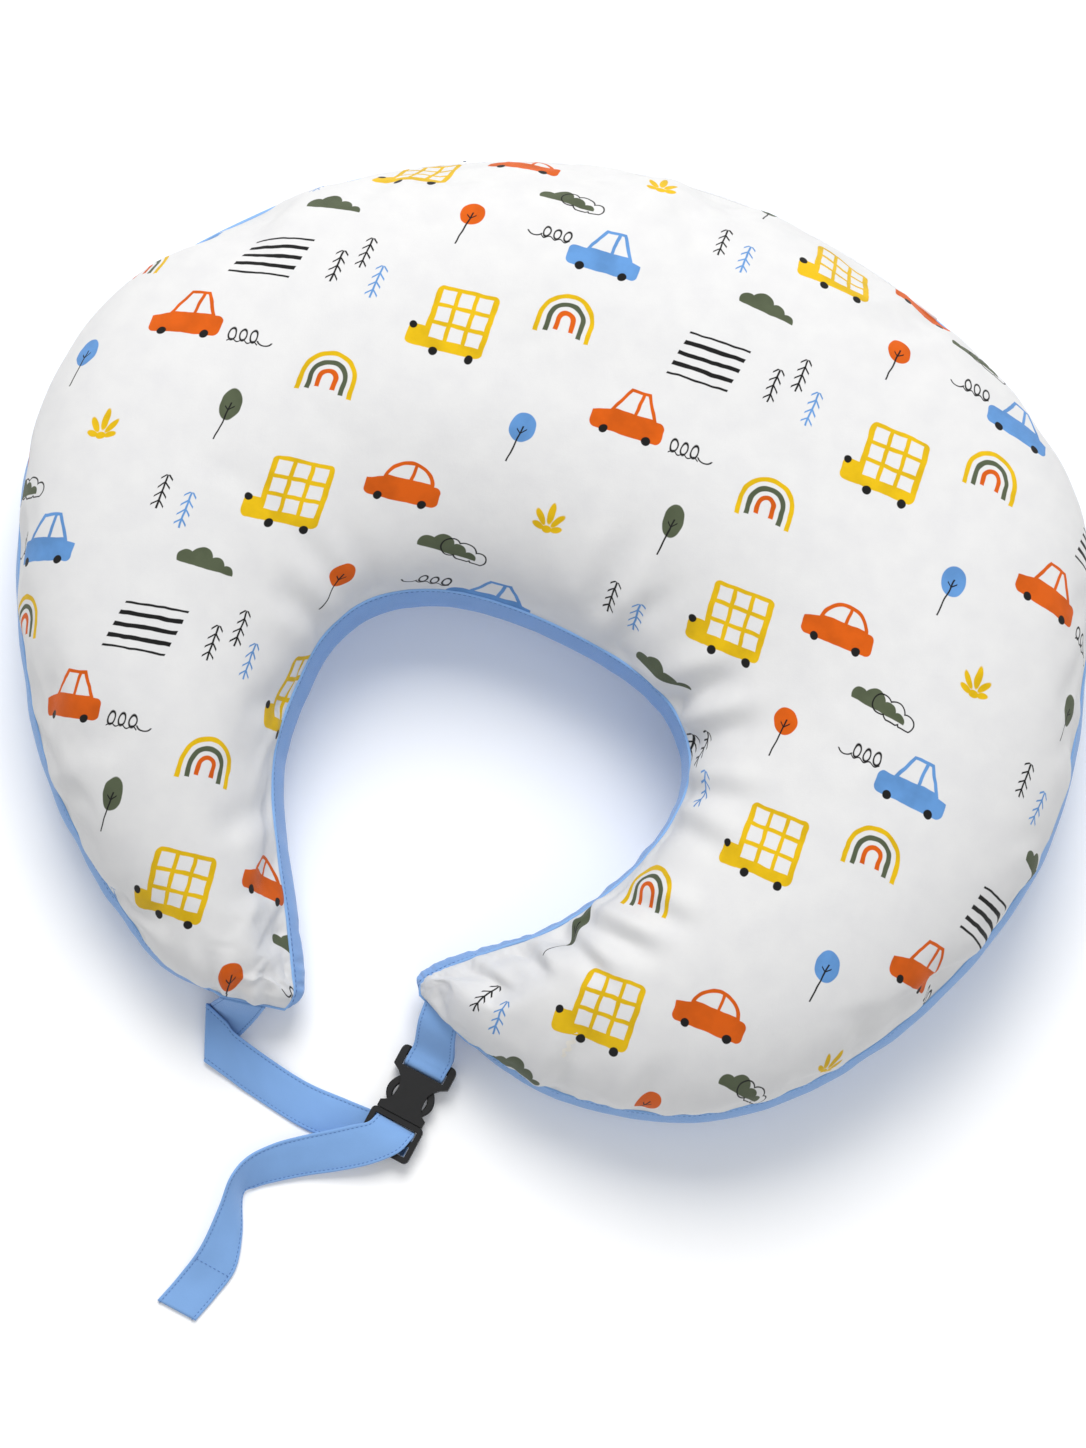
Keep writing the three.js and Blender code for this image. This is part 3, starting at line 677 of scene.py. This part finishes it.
# %% Grids as meshes
def grid_faces(rows, columns, flipped):
    i, j = np.meshgrid(np.arange(rows - 1), np.arange(columns - 1), indexing="ij")
    first = (i * columns + j).ravel()
    faces = np.stack([first, first + columns, first + columns + 1, first + 1], axis=1)
    return faces[:, ::-1] if flipped else faces


def mesh_piece(name, points, faces, finish, flat=None):
    """A smooth mesh object at the origin; flat is the place of each point on the cut cloth."""
    mesh = bpy.data.meshes.new(name)
    mesh.from_pydata(np.asarray(points).reshape(-1, 3).tolist(), [], [list(map(int, f)) for f in faces])
    if flat is not None:
        layer = mesh.uv_layers.new(name="flat")
        corner = np.empty(len(mesh.loops), np.int32)
        mesh.loops.foreach_get("vertex_index", corner)
        layer.data.foreach_set("uv", np.asarray(flat).reshape(-1, 2)[corner].astype(np.float32).ravel())
    mesh.polygons.foreach_set("use_smooth", [True] * len(mesh.polygons))
    mesh.materials.append(finish)
    piece = bpy.data.objects.new(name, mesh)
    SCENE.collection.objects.link(piece)
    return piece


# %% [markdown]
# ## Stuffing by cloth simulation
# Blown-up cloth looks right because it is a little too large for its seam: the spare cloth gathers
# into soft folds that run away from the stitching. So both panels become one cloth that is cut 2.5%
# too large, its seam is held, and air pressure fills it. No point may move more than 9 mm, so that the
# pillow keeps its size. The result becomes the panels' mesh and no modifier is left.

# %% Simulate
FRAMES = 20
CUT_TOO_LARGE = 0.025
AIR_PRESSURE = 4.0
MOST_MOVE = 0.009


def stuffed(top, base):
    count = top.size // 3
    faces = np.vstack([grid_faces(ROWS, COLUMNS, False), grid_faces(ROWS, COLUMNS, True) + count])
    start = np.vstack([top.reshape(-1, 3), base.reshape(-1, 3)])
    dummy = mesh_piece("stuffing_trial", start, faces, ticking)
    edge = np.zeros((ROWS, COLUMNS), bool)
    edge[[0, -1], :] = True
    edge[:, [0, -1]] = True
    held = dummy.vertex_groups.new(name="seam")
    held.add([int(i) for i in np.flatnonzero(np.concatenate([edge.ravel(), edge.ravel()]))], 1.0, "REPLACE")
    cloth_move = dummy.modifiers.new("cloth", "CLOTH")
    rules = cloth_move.settings
    rules.vertex_group_mass = "seam"
    rules.use_pressure = True
    rules.uniform_pressure_force = AIR_PRESSURE
    rules.effector_weights.gravity = 0
    rules.shrink_min = -CUT_TOO_LARGE
    rules.quality = 5
    rules.bending_stiffness = 0.3
    rules.air_damping = 2.0
    cloth_move.point_cache.frame_end = FRAMES
    for number in range(1, FRAMES + 1):
        SCENE.frame_set(number)
    done = dummy.evaluated_get(bpy.context.evaluated_depsgraph_get())
    moved = np.empty(len(start) * 3)
    done.data.vertices.foreach_get("co", moved)
    moved = moved.reshape(-1, 3) - start
    SCENE.frame_set(1)
    bpy.data.objects.remove(dummy)
    far = np.linalg.norm(moved, axis=1, keepdims=True)
    moved *= np.tanh(far / MOST_MOVE) * MOST_MOVE / np.maximum(far, 1e-9)
    return moved[:count].reshape(top.shape), moved[count:].reshape(base.shape)


top_move, base_move = stuffed(top, base)
print("stuffing moved the cloth up to", round(float(np.abs(top_move).max()) / MM, 1), "mm")

# %% [markdown]
# ## Folds
# Where the C bends hardest and where an arm closes to its tip, spare cloth lies in folds that a few
# frames of simulation don't find. Each fold is a line on the pillow's plan with a width and a depth:
# a valley with a soft ridge beside it, fading out at both ends.

# %% Folds and creases
# start x, y, end x, y, width and depth in millimetres
FOLDS = [
    # spreading from the inner edge where the right arm bends
    (45, 91, 64, 137, 7, 2.2), (84, 72, 120, 106, 9, 3.8), (105, 60, 143, 88, 8, 3.4),
    (117, 34, 163, 45, 7, 2.4), (125, 14, 160, 9, 7, 2.6), (47, 109, 47, 143, 7, 1.8),
    (24, 105, 23, 155, 9, 1.8),
    # the same on the left, where the bend is wider
    (-104, 41, -147, 58, 8, 1.8), (-107, 21, -145, 20, 8, 1.6), (-91, 50, -123, 77, 8, 1.5),
    (-105, -27, -125, -46, 8, 1.3), (-86, -81, -107, -119, 7, 2.0), (-65, -114, -80, -147, 6, 1.8),
    (-47, -133, -48, -164, 5, 1.8),
    # the right arm closing to its tip
    (108, -57, 154, -57, 7, 3.6), (95, -68, 138, -85, 6, 3.2), (74, -84, 103, -96, 5, 2.4),
    (124, -35, 163, -36, 7, 2.6), (53, -106, 87, -110, 4, 1.8), (129, -140, 130, -94, 6, 2.2),
    (177, -135, 174, -92, 7, 2.0),
    # the left arm's tip
    (-55, -189, -61, -157, 5, 2.2), (-37, -187, -47, -156, 4, 2.0), (-68, -184, -88, -159, 5, 1.8),
    # puckers of the outer seam, the first two at the zip's end
    (-194, 265, -202, 231, 6, 3.0), (-177, 280, -170, 259, 6, 1.8), (285, 188, 266, 172, 6, 2.2),
    (299, 151, 278, 143, 6, 1.8), (308, 98, 283, 98, 6, 2.0), (304, 45, 283, 50, 6, 2.2),
    (291, 3, 273, 13, 6, 2.2), (271, -47, 255, -30, 6, 1.8), (-193, -134, -176, -119, 6, 1.5),
    (-147, -173, -134, -154, 6, 1.6),
]
SPARE_CLOTH = 1.65  # deepens every fold; 1 is a firmly stuffed pillow


def folded(points):
    """How far each point rises above its place, in metres."""
    plan = points[..., :2] / MM
    lift = np.zeros(plan.shape[:2])
    for x0, y0, x1, y1, width, depth in FOLDS:
        start, run = np.array([x0, y0]), np.array([x1 - x0, y1 - y0])
        length = np.linalg.norm(run)
        along = ((plan - start) @ run) / length**2
        sideways = ((plan - start) @ np.array([-run[1], run[0]])) / length / width
        fade = smooth(along * 4 + 1.5) * smooth((1 - along) * 1.6)
        ridge_and_valley = np.exp(-((sideways - 1.4) ** 2)) * 0.7 - np.exp(-(sideways**2))
        lift += fade * SPARE_CLOTH * depth * MM * ridge_and_valley
    return lift


def puckered(points, depth, waves):
    """Small ripples beside the seams, as sewing draws the cloth up; waves is how many along the C."""
    rows, columns = points.shape[:2]
    t = np.linspace(0, 1, rows)[:, None]
    v = np.linspace(0, 1, columns)[None, :]
    lift = np.zeros((rows, columns))
    for edge, phase in ((0, 0.3), (1, 1.7)):
        near = np.abs(v - edge)
        fade = np.exp(-((near - 0.045) / 0.05) ** 2)
        swell = np.sin(t * waves * 2 * math.pi + phase) + np.sin(t * waves * 3.57 + phase * 2.1)
        strength = 0.35 + 0.65 * np.sin(t * 21.0 + phase) ** 2
        lift += fade * swell * strength * depth * MM * 0.5
    return lift


def outward(points, flipped):
    """Unit normals of a grid."""
    normal = np.cross(np.gradient(points, axis=0), np.gradient(points, axis=1))
    normal *= -1 if flipped else 1
    return normal / np.maximum(np.linalg.norm(normal, axis=2, keepdims=True), 1e-9)


SIDE_GIVE = 0.45  # the back panel keeps this share of its swelling sideways
edge_guard = np.ones((ROWS, COLUMNS, 1))
edge_guard[:, [0, -1]] = 0
edge_guard[[0, -1], :] = 0
edge_guard[:, [1, -2]] = 0.6
base_move[..., :2] *= SIDE_GIVE
top_move = top_move + outward(top, False) * (folded(top) + puckered(top, 0.9, 74))[..., None] * edge_guard
base_move = base_move + outward(base, True) * puckered(base, 1.3, 58)[..., None] * edge_guard


HIGHEST = 0.1585


def settled(points, move):
    """The moved cloth, flat where it stands on the floor and no higher than the stuffing allows."""
    moved = points + move
    moved[..., 2] = np.clip(moved[..., 2], 0.0, HIGHEST)
    return moved


top_cloth, base_cloth = settled(top, top_move), settled(base, base_move)
print(len(FOLDS), "folds; the top now reaches", round(float(top_cloth[..., 2].max()) / MM, 1), "mm")

# %% [markdown]
# ## Cover, inner case and filling
# The two panels are separate pieces of cloth, so each is its own piece with a wall of 0.8 mm inside
# and one round of subdivision. The inner case has two thinner panels of 0.5 mm, and the filling is one
# closed mass. Both follow the same moved cloth a few millimetres further in, so a fold of the cover is
# a fold of what is below it.

# %% Panels
def panel(name, points, flipped, finish, flat, wall, subdivide=True):
    piece = mesh_piece(name, points, grid_faces(ROWS, COLUMNS, flipped), finish, flat)
    thick = piece.modifiers.new("wall", "SOLIDIFY")
    thick.thickness = wall * MM
    thick.offset = -1
    if subdivide:
        finer = piece.modifiers.new("finer", "SUBSURF")
        finer.levels = finer.render_levels = 1
    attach(piece, "pillow")
    return piece


cover_top = panel("cover_top", top_cloth, False, printed.material, top_flat, 0.8)
cover_back = panel("cover_back", base_cloth, True, blue_cotton, base_flat, 0.8)
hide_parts("cover_top_panel")
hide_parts("cover_back_panel")

case_top_points = settled(surface(True, ROWS, COLUMNS, 8.5, 2.6, 0), top_move)
case_base_points = settled(surface(False, ROWS, COLUMNS, 8.5, 2.6, 0), base_move * 0.7)
case_base_points[..., 2] = np.maximum(case_base_points[..., 2], 0.0016)
case_top = panel("case_top", case_top_points, False, ticking, top_flat, 0.5, False)
case_back = panel("case_back", case_base_points, True, ticking, base_flat, 0.5, False)
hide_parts("inner_case_top_panel")
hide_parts("inner_case_back_panel")

fill_top = settled(surface(True, ROWS, COLUMNS, 10, 4.2, 0), top_move)
fill_base = settled(surface(False, ROWS, COLUMNS, 10, 4.2, 0), base_move * 0.7)
fill_base[..., 2] = np.maximum(fill_base[..., 2], 0.0034)
fill_base[[0, -1]] = fill_top[[0, -1]]
fill_base[:, [0, -1]] = fill_top[:, [0, -1]]
both = np.vstack([fill_top.reshape(-1, 3), fill_base.reshape(-1, 3)])
both_faces = np.vstack([grid_faces(ROWS, COLUMNS, False), grid_faces(ROWS, COLUMNS, True) + ROWS * COLUMNS])
filling = mesh_piece("filling", both, both_faces, fibre.material)


def merged(piece, distance):
    """The piece's mesh with its doubled points joined."""
    shape = bmesh.new()
    shape.from_mesh(piece.data)
    bmesh.ops.remove_doubles(shape, verts=shape.verts, dist=distance)
    bmesh.ops.dissolve_degenerate(shape, edges=shape.edges, dist=distance)
    shape.to_mesh(piece.data)
    shape.free()


merged(filling, 1e-5)
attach(filling, "pillow")
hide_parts("fibre_fill")
print("panels, inner case and filling made")

# %% [markdown]
# ## Rows of stitches
# A seam shows as a row of short thread lengths. They repeat along a path, which is what Geometry Nodes
# do well: the path becomes a curve, the curve is cut at even steps, a bead is set at each step and
# turned along the path. One tree makes the seams, the straps' topstitching and the zip's coil, with
# the spacing and the bead's three sizes as its inputs.

# %% A tree that sets beads along paths
BEAD_INPUTS = ("Spacing", "Long", "Wide", "Thick")


def bead_tree():
    tree = bpy.data.node_groups.new("beads_along_path", "GeometryNodeTree")
    face = tree.interface
    face.new_socket("Geometry", in_out="INPUT", socket_type="NodeSocketGeometry")
    for label in BEAD_INPUTS:
        face.new_socket(label, in_out="INPUT", socket_type="NodeSocketFloat")
    face.new_socket("Finish", in_out="INPUT", socket_type="NodeSocketMaterial")
    face.new_socket("Geometry", in_out="OUTPUT", socket_type="NodeSocketGeometry")
    new = tree.nodes.new
    link = tree.links.new
    given, result = new("NodeGroupInput"), new("NodeGroupOutput")
    curve = new("GeometryNodeMeshToCurve")
    even = new("GeometryNodeResampleCurve")
    even.mode = "LENGTH"
    tangent = new("GeometryNodeInputTangent")
    turn = new("FunctionNodeAxesToRotation")
    turn.primary_axis, turn.secondary_axis = "X", "Z"
    turn.inputs["Secondary Axis"].default_value = (0, 0, 1)
    bead = new("GeometryNodeMeshUVSphere")
    bead.inputs["Segments"].default_value = 6
    bead.inputs["Rings"].default_value = 4
    bead.inputs["Radius"].default_value = 0.5
    size = new("ShaderNodeCombineXYZ")
    shaped = new("GeometryNodeTransform")
    placed = new("GeometryNodeInstanceOnPoints")
    real = new("GeometryNodeRealizeInstances")
    finish = new("GeometryNodeSetMaterial")
    link(given.outputs["Geometry"], curve.inputs["Mesh"])
    link(curve.outputs["Curve"], even.inputs["Curve"])
    link(given.outputs["Spacing"], even.inputs["Length"])
    link(tangent.outputs["Tangent"], turn.inputs["Primary Axis"])
    for label, axis in zip(BEAD_INPUTS[1:], "XYZ"):
        link(given.outputs[label], size.inputs[axis])
    link(bead.outputs["Mesh"], shaped.inputs["Geometry"])
    link(size.outputs["Vector"], shaped.inputs["Scale"])
    link(even.outputs["Curve"], placed.inputs["Points"])
    link(shaped.outputs["Geometry"], placed.inputs["Instance"])
    link(turn.outputs["Rotation"], placed.inputs["Rotation"])
    link(placed.outputs["Instances"], real.inputs["Geometry"])
    link(real.outputs["Geometry"], finish.inputs["Geometry"])
    link(given.outputs["Finish"], finish.inputs["Material"])
    link(finish.outputs["Geometry"], result.inputs["Geometry"])
    return tree


BEADS = bead_tree()


def beads(name, paths, finish, spacing, long, wide, thick):
    """A plain mesh of beads along the paths; sizes in millimetres."""
    points, edges = [], []
    for path in paths:
        first = len(points)
        points += [tuple(map(float, p)) for p in path]
        edges += [(k, k + 1) for k in range(first, len(points) - 1)]
    mesh = bpy.data.meshes.new(name + "_path")
    mesh.from_pydata(points, edges, [])
    guide = bpy.data.objects.new(name + "_path", mesh)
    SCENE.collection.objects.link(guide)
    maker = guide.modifiers.new("beads", "NODES")
    maker.node_group = BEADS
    values = {label: size * MM for label, size in zip(BEAD_INPUTS, (spacing, long, wide, thick))}
    values["Finish"] = finish
    for item in BEADS.interface.items_tree:
        if item.in_out == "INPUT" and item.name in values:
            maker[item.identifier] = values[item.name]
    made = bpy.data.meshes.new_from_object(guide.evaluated_get(bpy.context.evaluated_depsgraph_get()))
    made.name = name
    made.polygons.foreach_set("use_smooth", [True] * len(made.polygons))
    while made.uv_layers:
        made.uv_layers.remove(made.uv_layers[0])
    made.materials.clear()
    made.materials.append(finish)
    bpy.data.objects.remove(guide)
    piece = bpy.data.objects.new(name, made)
    SCENE.collection.objects.link(piece)
    print(name, "has", len(made.polygons), "faces")
    return piece


# %% [markdown]
# ## The seam's lip and its stitches
# Turned and pressed, a seam ends in a thin rounded lip of the blue cloth, which catches the light as
# a pale line between the panels. It is a tube of 1 mm radius round the whole seam, and its cotton is a
# lighter blue: a painted highlight. The stitches sit just below it, on the blue panel.

# %% Seam lip
def unit(vectors):
    return vectors / np.maximum(np.linalg.norm(vectors, axis=-1, keepdims=True), 1e-12)


def skin(rows, sides, closed=False):
    """Faces over rings of points that follow each other, with a cap on each end unless it is closed."""
    faces = []
    for i in range(rows if closed else rows - 1):
        n = (i + 1) % rows
        for j in range(sides):
            k = (j + 1) % sides
            faces.append((i * sides + j, n * sides + j, n * sides + k, i * sides + k))
    if not closed:
        faces += [tuple(range(sides)), tuple(range(rows * sides - 1, (rows - 1) * sides - 1, -1))]
    return faces


def distance_along(path):
    """How far each point of a path is from its first one, measured along it."""
    return np.concatenate([[0], np.cumsum(np.linalg.norm(np.diff(path, axis=0), axis=1))])


def tube(name, path, radius, finish, closed, sides=8):
    """A round strip along a nearly level path, with its flat coordinates."""
    path = np.asarray(path, float)
    if closed:
        forward = unit(np.roll(path, -1, axis=0) - np.roll(path, 1, axis=0))
    else:
        forward = unit(np.gradient(path, axis=0))
    aside = unit(np.cross(forward, [0, 0, 1.0]))
    above = np.cross(aside, forward)
    angle = np.linspace(0, 2 * math.pi, sides, endpoint=False)
    ring = np.cos(angle)[None, :, None] * aside[:, None] + np.sin(angle)[None, :, None] * above[:, None]
    points = path[:, None] + ring * radius * MM
    flat = np.dstack(np.broadcast_arrays(distance_along(path)[:, None], angle[None, :] * radius * MM))
    return mesh_piece(name, points, skin(len(path), sides, closed), finish, flat)


CLOSEST = 0.0004  # rim points nearer than this are left out
OPEN_SLOT = 0.0008  # the panels' edges stand this far apart where the zip's slot is
rim = np.vstack([base_cloth[:, 0], base_cloth[-1, 1:-1], base_cloth[::-1, -1], base_cloth[0, -2:0:-1]])
keep = np.ones(len(rim), bool)
keep[1:] = np.linalg.norm(np.diff(rim, axis=0), axis=1) > CLOSEST
rim = rim[keep] + [0, 0, 0.0002]
# the lip's lighter blue is a painted highlight on the folded edge
seam_lip = tube("seam_lip", rim, 0.95, blue_fold_painted_highlight, True)
zipped = np.flatnonzero(top_cloth[:, -1, 2] - base_cloth[:, -1, 2] > OPEN_SLOT)
slot_lip = tube("zip_slot_lip", top_cloth[zipped[0] : zipped[-1] + 1, -1], 0.8, white_thread, False)


def beside_seam(cloth, side, down):
    """A path on the cloth, `down` millimetres away from its seam."""
    edge, next_in = (cloth[:, 0], cloth[:, 2]) if side == "inner" else (cloth[:, -1], cloth[:, -3])
    normal = outward(cloth, True)[:, 1 if side == "inner" else -2]
    return edge + unit(next_in - edge) * down * MM + normal * 0.25 * MM


seam_paths = [beside_seam(base_cloth, side, 2.4)[4:-4] for side in ("inner", "outer")]
seam_stitches = beads("seam_stitches", seam_paths, blue_thread, spacing=3.0, long=2.1, wide=0.5, thick=0.5)
for piece, slot in ((seam_lip, "blue_cotton"), (slot_lip, "printed_cotton"), (seam_stitches, "blue_cotton")):
    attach(piece, "pillow")

# %% [markdown]
# ## Zip
# The zip lies in the outer seam at the crown. Its tapes are strips of woven tape bent round the crown,
# its coils are nylon loops at 1.4 mm steps, again beads on a path. The slider, its pull and the stops
# have the frame's shapes: only their edges are rounded.

# %% Tapes and coils
CROWN_THICKNESS = 152
SEAM_Z = CROWN_THICKNESS * SEAM_SHARE
TAPE_FACE, COIL_MIDDLE = 361.7, 362.9  # radii about the crown's centre
COIL_FROM, COIL_TO = 123.3, 78.1


def crown_point(radius, degrees, z):
    angle = math.radians(degrees)
    return np.array([
        (radius * math.cos(angle) + SHIFT[0]) * MM, (radius * math.sin(angle) + SHIFT[1]) * MM, z * MM
    ])


def tape(name, side):
    """One half of the zip's tape, with a rounded outer edge."""
    rows = np.linspace(ZIP_FROM + SLOT_PAST, ZIP_TO - SLOT_PAST, 97)
    low, high, thick = 0.35, 7.4, 0.55
    face = [(0, low), (0, high - 0.3), (-thick * 0.2, high)]
    outline = face + [(-thick - r, z) for r, z in face[::-1]]
    points = [[crown_point(TAPE_FACE + r, a, SEAM_Z + side * z) for r, z in outline] for a in rows]
    faces = skin(len(rows), len(outline))
    if side > 0:
        faces = [face[::-1] for face in faces]  # the upper half is the lower one's mirror image
    flat = [[(math.radians(a) * TAPE_FACE * MM, z * MM) for r, z in outline] for a in rows]
    return mesh_piece(name, points, faces, zip_cloth, flat)


for side, word in ((1, "upper"), (-1, "lower")):
    band = tape("zip_tape_" + word + "_woven", side)
    turns = np.linspace(COIL_FROM, COIL_TO, 90)
    coil_path = [crown_point(COIL_MIDDLE, a, SEAM_Z + side * 1.25) for a in turns]
    coil = beads(
        "zip_coil_" + word + "_nylon", [coil_path], zip_nylon.material,
        spacing=1.4, long=0.85, wide=1.7, thick=1.9,
    )
    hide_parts("zip_tape_" + word)
    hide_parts("zip_coil_" + word)
    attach(band, "pillow")
    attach(coil, "pillow")


# %% Hard parts from the frame, with rounded edges
def eased(node, name, finish, body, edge, segments=2):
    """A copy of a frame node whose flat faces are whole and whose edges are rounded."""
    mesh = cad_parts[node].data.copy()
    mesh.name = name
    mesh.materials.clear()
    mesh.materials.append(finish)
    piece = bpy.data.objects.new(name, mesh)
    SCENE.collection.objects.link(piece)
    shape = bmesh.new()
    shape.from_mesh(mesh)
    bmesh.ops.remove_doubles(shape, verts=shape.verts, dist=1e-5)
    bmesh.ops.dissolve_limit(
        shape, angle_limit=math.radians(2), verts=shape.verts, edges=shape.edges, delimit={"MATERIAL"}
    )
    shape.to_mesh(mesh)
    shape.free()
    mesh.polygons.foreach_set("use_smooth", [True] * len(mesh.polygons))
    mesh.set_sharp_from_angle(angle=math.radians(50))
    bevel = piece.modifiers.new("rounded_edges", "BEVEL")
    bevel.width = edge * MM
    bevel.segments = segments
    bevel.limit_method = "ANGLE"
    bevel.angle_limit = math.radians(35)
    bevel.use_clamp_overlap = True
    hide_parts(node)
    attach(piece, body)
    return piece


eased("zip_slider", "zip_slider_cast", zip_metal.material, "slider", 0.25)
eased("zip_pull", "zip_pull_tab", zip_metal.material, "pull", 0.2)
for node in ("zip_top_stop_upper", "zip_top_stop_lower", "zip_end_stop"):
    eased(node, node + "_pressed", zip_metal.material, "pillow", 0.15)
print("zip made")

# %% [markdown]
# ## Straps
# A strap is blue cotton folded to 25 mm with both edges topstitched. Its path is a ribbon between two
# edge curves, each through a few points, so it can fold over, stand on edge and turn. The section is
# not a plain bar: the folded edges are full, and the stitching draws a groove 2 mm inside them.

# %% Ribbons
STRAP_HALF = 12.5
# place across the strap, from its middle to its edge, and half its thickness in millimetres
HALF_SECTION = [
    (0.0, 0.72), (0.4, 0.72), (0.79, 0.66), (0.84, 0.5),
    (0.88, 0.72), (0.93, 0.82), (0.985, 0.55), (1.0, 0.0),
]
SECTION = [(-s, h) for s, h in HALF_SECTION[:0:-1]] + HALF_SECTION
GROOVE = 0.84  # where the stitching draws it in


def about(rows):
    """Both edges of a strap from x, y, z, heading and tilt of the line across it."""
    edges = []
    for side in (-1, 1):
        edge = []
        for x, y, z, heading, tilt in rows:
            flat = math.cos(math.radians(tilt)) * STRAP_HALF * side
            turn = math.radians(heading)
            rise = math.sin(math.radians(tilt)) * STRAP_HALF * side
            edge.append((x + flat * math.cos(turn), y + flat * math.sin(turn), z + rise))
        edges.append(edge)
    return edges


def ribbon(left_points, right_points, steps):
    """Middle line, half-width vectors and normals of a strap, in metres."""
    t = np.linspace(0, 1, steps + 1)
    shift = np.array([*SHIFT, 0])
    left, right = (curve_through(side)(t) + shift for side in (left_points, right_points))
    middle, half = (left + right) / 2 * MM, (right - left) / 2 * MM
    normal = unit(np.cross(np.gradient(middle, axis=0), half))
    return middle, half, normal


def strap(name, path):
    """A strap of blue cotton along a ribbon, and its length in metres."""
    middle, half, normal = path
    upper = [middle + half * s + normal * h * MM for s, h in SECTION]
    lower = [middle + half * s - normal * h * MM for s, h in SECTION[-2:0:-1]]
    points = np.stack(upper + lower, axis=1)
    along = distance_along(middle)
    spread = [s * STRAP_HALF * MM for s, h in SECTION + SECTION[-2:0:-1]]
    flat = np.dstack(np.broadcast_arrays(np.array(spread)[None, :], along[:, None]))
    piece = mesh_piece(name, points, skin(*points.shape[:2]), blue_cotton, flat)
    print(name, "is", round(float(along[-1]) / MM), "mm long")
    return piece, float(along[-1])


def topstitching(name, path, hem=()):
    """Stitch rows on both faces, 2 mm inside each edge, and across at each hem's row."""
    middle, half, normal = path
    rows = []
    for face in (-1, 1):
        for s in (-GROOVE, GROOVE):
            rows.append(middle + half * s + normal * face * 0.62 * MM)
        for row in hem:
            across = np.linspace(-0.8, 0.8, 12)[:, None]
            rows.append(middle[row] + half[row] * across + normal[row] * face * 0.85 * MM)
    return beads(name, rows, blue_thread, spacing=2.6, long=1.8, wide=0.6, thick=0.45)


# the long strap's two edges, x, y and z: it leaves the tip, folds over and runs to the plug
LONG_LEFT = [
    (-95.3, -175.2, 36), (-99, -178, 20), (-101, -179.2, 9), (-101.5, -179.6, 6.6),
    (-102.6, -180.2, 8.2), (-101.3, -180.8, 10.2), (-88, -184.5, 12), (-77, -188.5, 10),
    (-35, -193, 2.5), (-6, -191, 0.9), (22, -188, 0.9),
]
LONG_RIGHT = [
    (-69.7, -168.2, 36), (-73.5, -178, 15), (-79, -192, 2.6), (-86, -209, 0.9),
    (-88, -210.5, 2.1), (-86, -211, 3.4), (-71, -213, 1.7), (-56, -215, 0.9),
    (-22, -217.5, 0.9), (3, -214.5, 0.9), (28, -207.5, 0.9),
]
# the tail's middle, x, y, z, heading and tilt: round the plug's bars, then out over the floor
TAIL = [
    (26, -205, 2.6, 0, 0), (26, -198, 2.6, 0, 0), (26, -192.0, 4.2, 0, 0), (26, -190.7, 8.6, 0, 0),
    (26, -193.0, 13.2, -6, 0), (23.5, -201, 14.8, -18, -2), (15, -210, 13.6, -38, -10),
    (3, -220, 11, -50, -18), (-12, -231.5, 8.8, -56, -26), (-25, -243, 8.6, -58, -33),
    (-34, -254, 10.2, -48, -48), (-37.5, -265, 12.6, -30, -64), (-31.5, -284, 9, -22, -38),
    (-28, -306, 5.2, -4, -19), (-31, -326, 1.6, 3, -3), (-35, -343.6, 0.9, 0, 0),
]
# the short strap's middle: down from the tip, round the socket's bar and back up
LOOP = [
    (20.5, -124.3, 34.6, -16.8, 0), (22.5, -134, 29, -7, 0), (26, -144.5, 17, 0, 0),
    (26, -151, 13.4, 0, 0), (26, -155.9, 11.6, 0, 0), (26, -157.5, 8.6, 0, 0),
    (26, -155.9, 5.8, 0, 0), (26, -151, 5.2, 0, 0), (26, -146.5, 5.4, 0, 0),
    (25.5, -141.5, 9.5, 0, 0), (22.5, -133.5, 21, -7, 0), (20.5, -124.3, 32.8, -16.8, 0),
]
HEM_ROW = 133

long_path = ribbon(LONG_LEFT, LONG_RIGHT, 140)
tail_path = ribbon(*about(TAIL), 150)
loop_path = ribbon(*about(LOOP), 90)
long_strap, long_length = strap("strap_from_left_arm", long_path)
long_stitches = topstitching("strap_from_left_arm_stitches", long_path)
tail_strap, tail_length = strap("strap_tail", tail_path)
tail_stitches = topstitching("strap_tail_stitches", tail_path, hem=(HEM_ROW,))
loop_strap, loop_length = strap("strap_loop", loop_path)
loop_stitches = topstitching("strap_loop_stitches", loop_path)
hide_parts("long_strap")
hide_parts("long_strap_tail")
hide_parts("short_strap")
for piece in (long_strap, long_stitches):
    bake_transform(piece)
for piece in (tail_strap, tail_stitches):
    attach(piece, "plug")
for piece in (loop_strap, loop_stitches):
    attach(piece, "pillow")

# %% [markdown]
# ## Buckle
# A side-release buckle for 25 mm strap, moulded in matt black plastic. Its pieces keep the frame's
# shapes. Moulded edges are never sharp, so each gets a small round, and the finish has a fine spark
# grain from the mould.

# %% Buckle pieces
for node, name, body, edge in (
    ("buckle_socket", "buckle_socket_moulded", "pillow", 0.9),
    ("buckle_plug", "buckle_plug_moulded", "plug", 0.6),
    ("plug_prong_left", "prong_left_moulded", "prong_left", 0.6),
    ("plug_prong_right", "prong_right_moulded", "prong_right", 0.6),
):
    eased(node, name, black_plastic.material, body, edge, 3)
print("buckle made")

# %% [markdown]
# ## Sizes and finish
# Cloth may stand a little proud of the frame; the last cell prints how far the pillow's box differs from the
# frame's.

# %% Finish
low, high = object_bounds()
growth = [round((abs(a - b)) / MM, 1) for a, b in zip([*cad_low, *cad_high], [*low, *high])]
print("difference from the frame's box in mm:", growth)
